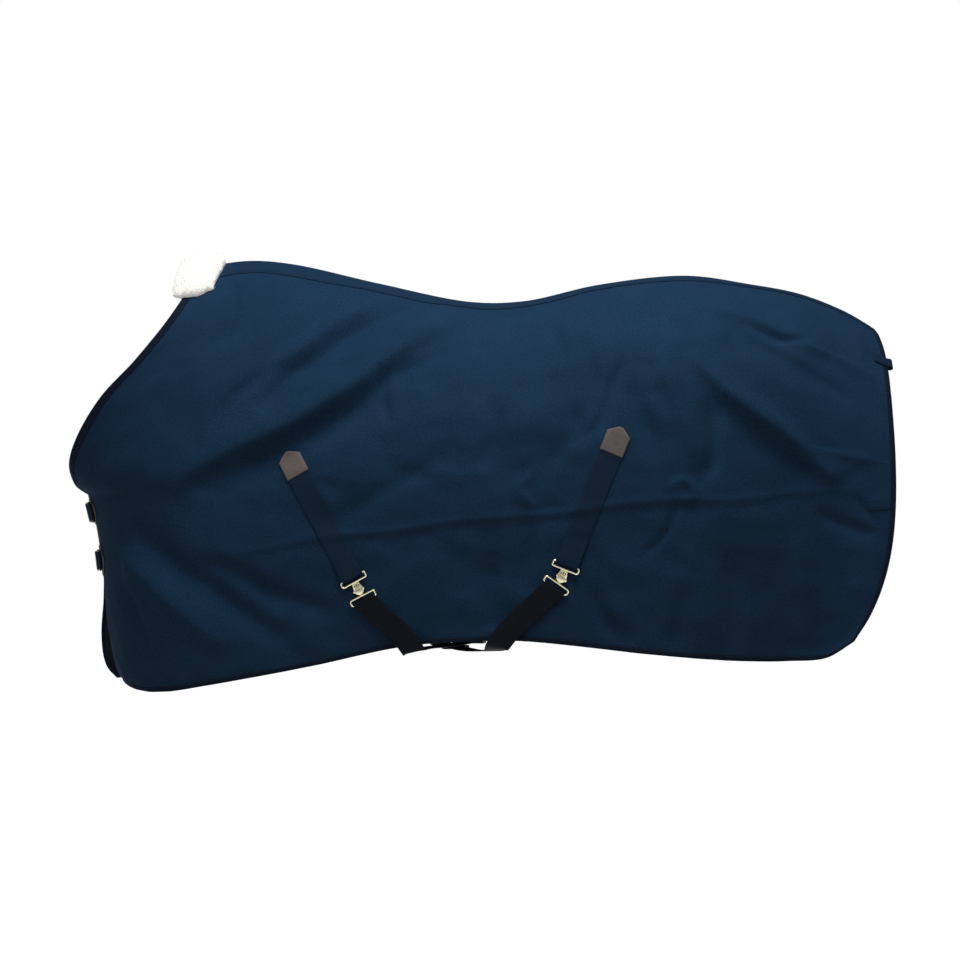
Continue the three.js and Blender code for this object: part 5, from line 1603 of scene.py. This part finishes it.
    def _patch_piece(self, name: str, spot: Spot, stations: Array, node: str) -> None:
        """Makes a patch of its stations, with a row of stitches inside its border."""
        strip_piece(name, stations, LEATHER, self.finishes.leather, "rug", (node,), edge=0.7)
        rows, columns = stations.shape[:2]
        inset_row, inset_column = 1.6 / (rows - 1) * 1.2, 1.4 / (columns - 1)
        border = [(inset_row, t) for t in np.linspace(inset_column, 1 - inset_column, 24)]
        border += [(s, 1 - inset_column) for s in np.linspace(inset_row, 1 - inset_row, 40)]
        border += [(1 - inset_row, t) for t in np.linspace(1 - inset_column, inset_column, 24)]
        border += [(s, inset_column) for s in np.linspace(1 - inset_row, inset_row, 40)]
        line = np.array([self._between(stations, s, t) for s, t in border])
        out = np.tile(spot.normal, (len(line), 1))
        SEAMS.add("leather", "rug", line + out * LEATHER / 2, out, stitch=2.6, gap=1.2, thick=0.5)

    @staticmethod
    def _between(stations: Array, s: float, t: float) -> Array:
        """A place between stations."""
        row, column = s * (stations.shape[0] - 1), t * (stations.shape[1] - 1)
        i, j = min(int(row), stations.shape[0] - 2), min(int(column), stations.shape[1] - 2)
        return mix(mix(stations[i, j], stations[i + 1, j], row - i),
                   mix(stations[i, j + 1], stations[i + 1, j + 1], row - i), column - j)

    def _route(self) -> tuple[SmoothCurve, Array]:
        """The lower strap's middle line under the belly, and its place on the far hem."""
        rail = LOWER_RAIL - NECK_PLACE + HIDDEN_RAIL
        start = self.hook.flat(rail, 0, CLIP_STAND + LOOP_REACH)[0]
        hem_near = SURFACE.skin(Side.NEAR, self.near_u, 1, 0)[0]
        hem_far = SURFACE.skin(Side.FAR, self.far_u, 1, 0)[0]
        out = hem_near + np.array([0, -6.5, 0])
        to_hem, normal = out - start, self.hook.normal
        near_z, middle_z, far_z = self.lows

        def below(share: float, y: float, z: float) -> Array:
            """A place under the belly."""
            return np.array([mix(out[0], hem_far[0], share), y, z])

        points = [start + self.run * 8, start + to_hem * 0.45 - normal * 1.5, start + to_hem * 0.82 - normal,
                  out + np.array([self.drift * 4, -2, -13]), below(0.05, hem_near[1] + 22, near_z),
                  below(0.28, hem_near[1] * 0.45, mix(near_z, middle_z, 0.7)), below(0.5, 0, middle_z),
                  below(0.72, hem_far[1] * 0.45, mix(far_z, middle_z, 0.7)), below(0.95, hem_far[1] - 22, far_z),
                  hem_far + np.array([0, 1, 0]) + np.array([0, 0, far_z + 5 - hem_far[2]]),
                  hem_far + np.array([0, SEAM_STAND, -SEAM_DROP])]
        return SmoothCurve(points), hem_far

    def _lower_strap(self) -> None:
        """The loose strap under the belly."""
        body = f"{self.word}_surcingle"
        route, hem_far = self._route()
        rail = LOWER_RAIL - NECK_PLACE + HIDDEN_RAIL
        half = STRAP_WIDTH / 2
        near_across = unit(np.cross(self.run, self.hook.normal))
        rail_run = self.hook.across
        skew = (rail_run @ self.run) / (rail_run @ near_across)

        def looped(distance: float) -> Array:
            """Half of the strap across, skewed near the rail."""
            return half * near_across + half * skew * (1 - float(smooth(distance, 10, 90))) * self.run

        middles, sides = [], []
        for back in (30.0, 12.0):
            middles.append(self.hook.flat(rail, 0, CLIP_STAND - LOOP_REACH)[0] + self.run * back)
            sides.append(looped(back))
        for a, n in self._round_rail(rail, -1.0):
            middles.append(self.hook.flat(a, 0, n)[0])
            sides.append(looped(0.0))
        belly_run = unit(route.along(0.75)[0] - route.along(0.45)[0])
        belly_across = unit(np.cross(np.array([0, 0, 1.0]), belly_run))
        if belly_across @ near_across < 0:
            belly_across = -belly_across
        far_across = np.array([math.copysign(1.0, belly_across[0]), 0, 0])
        hem_share = self.hem_distance / route.length
        turn_from = hem_share - 0.08
        for at in np.linspace(0, 1, 90):
            where = route.along(at)[0]
            heading = route.heading(at)[0]
            side = looped(8 + at * route.length)
            if at >= turn_from:
                turned = mix(unit(looped(8 + turn_from * route.length)), belly_across,
                             float(smooth(at, turn_from, hem_share + 0.04)))
                turned = mix(turned, far_across, float(smooth(at, 0.86, 0.97)))
                side = unit(turned - heading * (turned @ heading)) * half
            middles.append(where)
            sides.append(side)
        middles, sides = np.array(middles), np.array(sides)
        stations = np.stack([middles + sides * t for t in np.linspace(-1, 1, 9)], axis=1)
        strip_piece(f"{self.word}_belly_webbing", stations, STRAP, self.finishes.black_webbing, body,
                    (f"{self.word}_strap_lower",))

    def _far_end(self) -> None:
        """The strap's sewn end on the far side, under its patch."""
        hem = SURFACE.skin(Side.FAR, self.far_u, 1, 0)[0]
        spot = Spot.on_skin(Side.FAR, self.far_u, 0.97, DOWN)
        start = (hem - spot.origin) @ spot.along + SEAM_DROP - 0.4
        low = BINDING_STAND + SEAT_GAP
        s, t = (grid.ravel() for grid in np.meshgrid(np.linspace(0, 1, 28), np.linspace(0, 1, 9), indexing="ij"))
        back = s * 62 + 3 * (2 * t - 1) ** 2 * (1 - s)
        stations = spot.on_cloth(start - back, (t - 0.5) * STRAP_WIDTH, low + STRAP / 2).reshape(28, 9, 3)
        strip_piece(f"{self.word}_far_webbing", stations, STRAP, self.finishes.black_webbing, "rug",
                    (f"{self.word}_strap_far_end",))
        stations = self._patch(spot, -1.0, 48, PATCH_POINT, 58, low + STRAP + 0.4, start - 1)
        self._patch_piece(f"{self.word}_leather_far", spot, stations, f"{self.word}_patch_far")

    def build(self) -> None:
        """Makes the surcingle's pieces."""
        self._upper_strap()
        self._near_patch()
        self._clip_plate()
        self._clip_hook()
        self._lower_strap()
        self._far_end()
        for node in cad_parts.values():
            if node.name.startswith(f"{self.word}_slider"):
                node.data.materials.clear()
                node.data.materials.append(self.finishes.black_metal)
                round_edges(node, 0.35, 30)


# -------------------------------------------------------------- chest closures
@dataclass
class ChestClosure:
    """A strap and buckle across the front opening."""

    word: str
    z_share: float
    height: float
    finishes: Finishes
    heel: float = -6.0
    wire: float = 3.6
    stand: float = 8.3
    reach: float = 2.85
    strap: float = 40.0

    def __post_init__(self) -> None:
        """Finds the closure's frame on the front edge."""
        target = self.z_share * RUG_DROP
        low, high = NECK_SHARE, 1.0
        for _ in range(30):
            v = (low + high) / 2
            if SURFACE.skin(Side.NEAR, 0.0, v, 0)[0, 2] > target:
                low = v
            else:
                high = v
        self.row = v
        edge = SURFACE.skin(Side.NEAR, 0.0, v, 0)[0]
        across = SURFACE.skin(Side.NEAR, 0.0, v + 0.03, 0)[0] - SURFACE.skin(Side.NEAR, 0.0, v - 0.005, 0)[0]
        across[1] = 0
        along = np.array([0, 1.0, 0])
        self.frame = Spot(Side.NEAR, 0.0, v, np.array([edge[0], 0, edge[2]]), along, unit(across),
                          np.cross(along, unit(across)))
        self.sides = {side: Spot.on_skin(side, 0.03, v, along) for side in Side}

    def place(self, a: Array, b: Array, n: Array) -> Array:
        """Places across the opening, flat in its middle and on the canvas beyond."""
        a, b, n = np.broadcast_arrays(*(np.atleast_1d(np.asarray(x, float)) for x in (a, b, n)))
        flat = self.frame.flat(a, b, n)
        out = flat.copy()
        for side in Side:
            spot = self.sides[side]
            off = flat - self.frame.normal * n[:, None] - spot.origin
            u, v = spot.uv_under(off @ spot.along, off @ spot.across)
            on = SURFACE.cloth(side, u, v, n)
            pick = (a < 0) if side is Side.NEAR else (a >= 0)
            share = smooth(np.abs(a - 12), 34, 58)[:, None]
            out = np.where(pick[:, None], mix(flat, on, share), out)
        return out

    def _strip(self, name: str, profile: list, width: float, thickness: float, material: bpy.types.Material,
               node: str, bite: tuple[float, float, float]) -> None:
        """A strap from its side profile of pairs (a, n), with a slot bitten out.

        Args:
            name: the piece's name.
            profile: pairs (a, n) of its middle.
            width: its width.
            thickness: its thickness.
            material: its finish.
            node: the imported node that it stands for.
            bite: the slot's lowest a, highest a and half width.
        """
        profile = np.array(profile, float)
        half = width / 2
        across = np.array([-half, -half * 0.6, -4.4, 0, 4.4, half * 0.6, half])
        a, b = (grid.ravel() for grid in np.meshgrid(profile[:, 0], across, indexing="ij"))
        n = np.repeat(profile[:, 1], len(across))
        stations = self.place(a, b, n).reshape(len(profile), len(across), 3)
        rows, columns = stations.shape[:2]

        def layout(s: Array, t: Array) -> Array:
            """The stations' own places."""
            return stations[np.rint(s * (rows - 1)).astype(int), np.rint(t * (columns - 1)).astype(int)]

        length = float(np.sum(np.linalg.norm(np.diff(stations[:, 3], axis=0), axis=1)))
        mesh = sheet_mesh(layout, rows - 1, columns - 1, (length, width))
        cut = bmesh.new()
        cut.from_mesh(mesh)
        layer = cut.loops.layers.uv["cloth"]
        lengths = np.concatenate([[0], np.cumsum(np.linalg.norm(np.diff(stations[:, 3], axis=0), axis=1))])
        doomed = []
        for face in cut.faces:
            centre = np.mean([tuple(loop[layer].uv) for loop in face.loops], axis=0) / MM
            where = float(np.interp(centre[0], lengths, profile[:, 0]))
            if bite[0] < where < bite[1] and abs(centre[1] - half) < bite[2]:
                doomed.append(face)
        bmesh.ops.delete(cut, geom=doomed, context="FACES")
        cut.to_mesh(mesh)
        cut.free()
        piece = finished(name, mesh, material, "rug", (node,))
        thicken(piece, thickness, 0.0, 0.4)

    def _patches(self) -> None:
        """The leather patches on both flaps."""
        for side in Side:
            s, t = (grid.ravel() for grid in np.meshgrid(np.linspace(0, 1, 31), np.linspace(0, 1, 17),
                                                         indexing="ij"))
            out = 15 + 62 * s
            narrow = np.where(s < 0.7, 1.0, 1 - 0.8 * (s - 0.7) / 0.3)
            b = (t - 0.5) * self.height * narrow
            spot = self.sides[side]
            off = self.frame.flat(side.value * out, b, 0) - spot.origin
            u, v = spot.uv_under(off @ spot.along, off @ spot.across)
            rim = np.minimum(np.minimum(out - 15, 77 - out), self.height * narrow / 2 - np.abs(b))
            stations = SURFACE.cloth(side, u, v, 1.3 + 0.6 - 0.3 * (1 - smooth(rim, 0, 3))).reshape(31, 17, 3)
            name = f"{self.word}_chest_leather_{side.word}"
            strip_piece(name, stations, 1.2, self.finishes.leather, "rug",
                        (f"{self.word}_chest_patch_{side.word}",))
            border = [(0.05, t) for t in np.linspace(0.08, 0.92, 24)]
            border += [(s, 0.92) for s in np.linspace(0.05, 0.95, 40)]
            border += [(0.95, t) for t in np.linspace(0.92, 0.08, 24)]
            border += [(s, 0.08) for s in np.linspace(0.95, 0.05, 40)]
            line = np.array([Surcingle._between(stations, s, t) for s, t in border])
            normal = np.tile(spot.normal, (len(line), 1))
            SEAMS.add("leather", "rug", line + normal * 0.6, normal, stitch=2.6, gap=1.2, thick=0.5)

    def _straps(self) -> None:
        """The chape with the buckle and the billet that passes through it."""
        behind = self.stand - self.reach
        over_back = behind + 1.8
        backs = [8, 11, 14, 17, 20, 26, 33, 41, 50, 60]
        front = lambda back: mix(self.stand + self.reach, over_back, float(smooth(back, 4, 30)))
        turn = [(self.heel + math.sin(k) * self.reach, self.stand - math.cos(k) * self.reach)
                for k in np.linspace(0, math.pi, 11)]
        chape = [(self.heel - back, behind) for back in reversed(backs)] + turn
        chape += [(self.heel - back, front(back)) for back in backs]
        self._strip(f"{self.word}_chape_webbing", chape, self.strap, CHAPE, self.finishes.webbing,
                    f"{self.word}_chest_chape", (self.heel - 9.6, self.heel + 9.6, 4.3))
        on_top = 1.95
        over = self.stand + self.reach + on_top
        under = self.stand - self.wire / 2 - STRAP / 2 - 0.6
        billet = [(self.heel - back, front(back) + on_top) for back in reversed(backs)]
        billet += [(self.heel - 3, over), (self.heel + 3, over)]
        for a in (3, 7, 10.5, 14, 17.5, 21, 24.5, 28, 33, 38, 44, 52, 60, 68):
            stand = mix(over, under, float(smooth(a, -1, self.heel + 36.4 + 1)))
            billet.append((a, mix(stand, 3.7, float(smooth(a, 44, 58)))))
        self._strip(f"{self.word}_billet_webbing", billet, self.strap, STRAP, self.finishes.webbing,
                    f"{self.word}_chest_billet", (-4, 25, 4.1))

    def _buckle(self) -> None:
        """The frame, its tongue and the keeper."""
        inner = 46 - self.wire
        loop = rounded_loop(0.0, inner, 24.5 - self.wire / 2, 2.0, 6.0)
        body = f"{self.word}_buckle"
        mesh = merged([(curve_mesh([(loop, True)], self.wire / 2), self.frame.matrix(self.heel, 0, self.stand))])
        finished(f"{self.word}_brass_frame", mesh, self.finishes.brass, body, (f"{self.word}_buckle_frame",))
        middle = np.array([(0, 0, -2.9), (-2.05, 0, -2.05), (-2.9, 0, 0), (-2.05, 0, 2.05), (0, 0, 2.9),
                           (2.05, 0, 2.05), (2.9, 0, 0), (2.05, 0, -2.05)])
        eye = curve_mesh([(middle, True)], 0.6)
        widen = Matrix.Diagonal((1, 2.2, 1, 1))
        blade_line = np.array([(2.6, 0, 1.9), (10, 0, 2.3), (20, 0, 2.9), (33, 0, 3.25), (40, 0, 3.1), (45, 0, 2.9)])
        blade = curve_mesh([(blade_line, False)], 1.0, taper=np.array([1, 1.1, 1.1, 1.05, 0.95, 0.75]))
        tongue_at = self.frame.matrix(self.heel, 0, self.stand)
        mesh = merged([(eye, tongue_at @ widen), (blade, tongue_at @ Matrix.Diagonal((1, 1.9, 1, 1)))])
        finished(f"{self.word}_brass_tongue", mesh, self.finishes.brass, f"{self.word}_tongue",
                 (f"{self.word}_buckle_tongue",))
        a = self.heel - 40
        behind = self.stand - self.reach
        low, high = behind - 2.05, behind + 1.8 + 1.95 + 2.8
        middle = self.place(a, 0, 0)[0]
        along = unit(self.place(a + 7, 0, 0)[0] - self.place(a - 7, 0, 0)[0])
        across = self.place(a, 7, 0)[0] - self.place(a, -7, 0)[0]
        across = unit(across - along * (across @ along))
        normal = np.cross(along, across)
        round_it = [(21.9 * sign_b, mix(low, high, share)) for sign_b, share in
                    ((-1, 0.15), (-0.94, 0.0), (0.94, 0.0), (1, 0.15), (1, 0.85), (0.94, 1.0), (-0.94, 1.0),
                     (-1, 0.85))]
        round_it.append(round_it[0])
        stations = np.array([[middle + along * share + across * b + normal * n for share in np.linspace(-7, 7, 5)]
                             for b, n in round_it])
        strip_piece(f"{self.word}_keeper_loop", stations, 1.0, self.finishes.webbing, f"{self.word}_keeper",
                    (f"{self.word}_chest_keeper",), edge=0.3)

    def build(self) -> None:
        """Makes the closure's pieces."""
        self._patches()
        self._straps()
        self._buckle()


# ---------------------------------------------------------------- leg fittings
@dataclass
class RearFittings:
    """The leg-strap rings and the tail-cord loops of both sides."""

    finishes: Finishes
    tab_loop: float = 3.45
    ring_wire: float = 3.0

    def _leg(self, side: Side) -> None:
        """The patch, the tab and the ring."""
        spot = Spot.at_flank(side, 0.466, -0.43, DOWN)
        s, t = (grid.ravel() for grid in np.meshgrid(np.linspace(0, 1, 33), np.linspace(0, 1, 15), indexing="ij"))
        v = spot.v + (s - 0.5) * 113 / SKIN_ACROSS
        u = 1 - 10 / SKIN_ALONG - 3 * SEAT_GAP / SKIN_ALONG - (1 - t) * 50 / SKIN_ALONG
        stations = SURFACE.cloth(side, u, v, 1.4).reshape(33, 15, 3)
        strip_piece(f"leg_canvas_{side.word}", stations, 0.9, self.finishes.canvas, "rug",
                    (f"leg_patch_{side.word}",), edge=0.3)
        edge = 1 - 10 / SKIN_ALONG - 3 * SEAT_GAP / SKIN_ALONG
        for inset in (3.0, 8.0):
            du, dv = inset / SKIN_ALONG, inset / SKIN_ACROSS
            low, high = spot.v - 56.5 / SKIN_ACROSS + dv, spot.v + 56.5 / SKIN_ACROSS - dv
            left, right = edge - 50 / SKIN_ALONG + du, edge - du
            share = np.linspace(0, 1, 60)
            for ends in (((left, low), (left, high)), ((left, high), (right, high)), ((right, low), (left, low))):
                seam_on_cloth(side, mix(ends[0][0], ends[1][0], share), mix(ends[0][1], ends[1][1], share), 1.9)
        top = INSIDE - 0.15
        turn = [(math.sin(k) * 3.9, top - self.tab_loop + math.cos(k) * self.tab_loop)
                for k in np.linspace(0, math.pi, 9)]
        profile = [(-30, top), (-20, top), (-10, top)] + turn
        profile += [(-10, top - 2 * self.tab_loop), (-20, top - 2 * self.tab_loop + 1.6),
                    (-30, top - 2 * self.tab_loop + 1.6)]
        profile = np.array([(a, n - 1.6) for a, n in profile])
        across = np.linspace(-12.5, 12.5, 7)
        a, b = (grid.ravel() for grid in np.meshgrid(profile[:, 0], across, indexing="ij"))
        stations = spot.flat(a, b, np.repeat(profile[:, 1], 7)).reshape(len(profile), 7, 3)
        strip_piece(f"leg_tab_webbing_{side.word}", stations, CHAPE, self.finishes.webbing, "rug",
                    (f"leg_strap_tab_{side.word}",), edge=0.3)
        bow = arc((14, 0), 20 - self.ring_wire / 2, -90, 90, 20)
        loop = np.array([(0.0, -20 + self.ring_wire / 2, 0.0)] + bow + [(0.0, 20 - self.ring_wire / 2, 0.0)])
        mesh = merged([(curve_mesh([(loop, True)], self.ring_wire / 2), spot.matrix(0, 0, -11.2))])
        finished(f"leg_ring_brass_{side.word}", mesh, self.finishes.brass, f"{side.word}_leg_ring",
                 (f"leg_strap_ring_{side.word}",))

    def _tail(self, side: Side) -> None:
        """The webbing loop for the tail cord, folded round the rear binding."""
        spot = Spot.on_skin(side, 1.0, 0.2, np.array([1.0, 0, 0]))
        high, low = 3.15, -9.15
        middle, radius = (high + low) / 2, (high - low) / 2
        profile = [(a, high) for a in (-34, -22, -11, 0)]
        profile += [(14 - radius + math.sin(k) * radius, middle + math.cos(k) * radius)
                    for k in np.linspace(0, math.pi, 11)]
        profile += [(a, low) for a in (0, -11, -22, -34)]
        rows = []
        for a, n in profile:
            v = 0.2 + np.linspace(-12.5, 12.5, 7) / SKIN_ACROSS
            if a < 0:
                rows.append(SURFACE.cloth(side, np.full(7, 1 + a / SKIN_ALONG), v, n))
            else:
                base = SURFACE.cloth(side, np.full(7, 1.0), v, 0)
                rows.append(base + spot.along * a + spot.normal * n)
        strip_piece(f"tail_webbing_{side.word}", np.array(rows), CHAPE, self.finishes.webbing, "rug",
                    (f"tail_loop_{side.word}",), edge=0.3)

    def build(self) -> None:
        """Makes the fittings of both sides."""
        for side in Side:
            self._leg(side)
            self._tail(side)


# ----------------------------------------------------------------------- stage
@dataclass
class Studio:
    """A pale floor in white surroundings, soft light from above and the camera."""

    floor_drop: float = 1.55
    floor_radius: float = 14.0
    world: float = 0.14

    def _floor(self) -> None:
        """A round pale floor."""
        graph = Graph("studio_white")
        mottle = graph.speckle(graph.object_place(), 2.0, 2.0)
        material = graph.finish(graph.blend(mottle, (0.3, 0.3, 0.3), (0.33, 0.33, 0.33)), 0.95, 0.0, [])
        graph.shader.inputs["Emission Color"].default_value = (1, 1, 1, 1)
        graph.shader.inputs["Emission Strength"].default_value = 1.0
        disc = bmesh.new()
        bmesh.ops.create_circle(disc, cap_ends=True, segments=96, radius=self.floor_radius,
                                matrix=Matrix.Translation((0, 0, -self.floor_drop)))
        mesh = bpy.data.meshes.new("floor")
        disc.to_mesh(mesh)
        disc.free()
        mesh.materials.append(material)
        floor = bpy.data.objects.new("floor", mesh)
        bpy.context.scene.collection.objects.link(floor)
        floor.visible_diffuse = False

    def _surroundings(self) -> None:
        """A world that is white to look at and throws only a little light."""
        world = bpy.data.worlds.new("studio")
        world.use_nodes = True
        tree = world.node_tree
        dim = tree.nodes["Background"]
        dim.inputs["Color"].default_value = (1, 1, 1, 1)
        dim.inputs["Strength"].default_value = self.world
        white = tree.nodes.new("ShaderNodeBackground")
        white.inputs["Color"].default_value = (1, 1, 1, 1)
        path, either = tree.nodes.new("ShaderNodeLightPath"), tree.nodes.new("ShaderNodeMixShader")
        tree.links.new(path.outputs["Is Camera Ray"], either.inputs[0])
        tree.links.new(dim.outputs[0], either.inputs[1])
        tree.links.new(white.outputs[0], either.inputs[2])
        tree.links.new(either.outputs[0], tree.nodes["World Output"].inputs[0])
        bpy.context.scene.world = world

    @staticmethod
    def _light(name: str, place: tuple, aim: tuple, size: float, power: float) -> None:
        """A square area light aimed at a place."""
        light = bpy.data.lights.new(name, "AREA")
        light.shape = "SQUARE"
        light.size = size
        light.energy = power
        lamp = bpy.data.objects.new(name, light)
        lamp.location = place
        direction = np.array(aim) - np.array(place)
        lamp.rotation_euler = Vector(direction).to_track_quat("-Z", "Y").to_euler()
        bpy.context.scene.collection.objects.link(lamp)

    def build(self) -> None:
        """Makes the stage, the lights, the world and the camera."""
        self._floor()
        self._surroundings()
        self._light("overhead", (0.2, -1.15, 2.3), (0, -0.2, -0.3), 1.3, 62)
        self._light("front_fill", (-1.8, -4.0, 1.6), (0, 0, -0.3), 1.4, 13)
        scene = bpy.context.scene
        camera = bpy.data.cameras.new("camera")
        camera.lens, camera.sensor_width, camera.clip_end = 116.7, 36.0, 100.0
        eye = bpy.data.objects.new("camera", camera)
        eye.location = (0, -7, -0.398)
        eye.rotation_euler = (math.pi / 2, 0, 0)
        scene.collection.objects.link(eye)
        scene.camera = eye
        scene.view_settings.view_transform = "Standard"
        scene.view_settings.look = "None"


def main() -> None:
    """Builds the rug, piece by piece, and its studio."""
    logging.basicConfig(level=logging.INFO, format="%(message)s")
    finishes = Finishes()
    Cloth(finishes).build()
    WitherFleece(finishes).build()
    for surcingle in (
            Surcingle("front", (-0.148, -0.6515), 29, 27.5, 45, 264, 0.474, 0.571, (-764, -767, -768), 1, 150,
                      0.75, finishes),
            Surcingle("rear", (0.1, -0.6215), -21.8, -35, -45, 269, 0.574, 0.502, (-764, -780, -783), -1, 178,
                      0.77, finishes)):
        surcingle.build()
    for closure in (ChestClosure("upper", -0.494, 58, finishes), ChestClosure("lower", -0.608, 70, finishes)):
        closure.build()
    RearFittings(finishes).build()
    SEAMS.build({"navy": finishes.navy_thread, "leather": finishes.leather_thread},
                {"navy": "binding", "leather": "leather"})
    Studio().build()


if __name__ == "__main__":
    main()
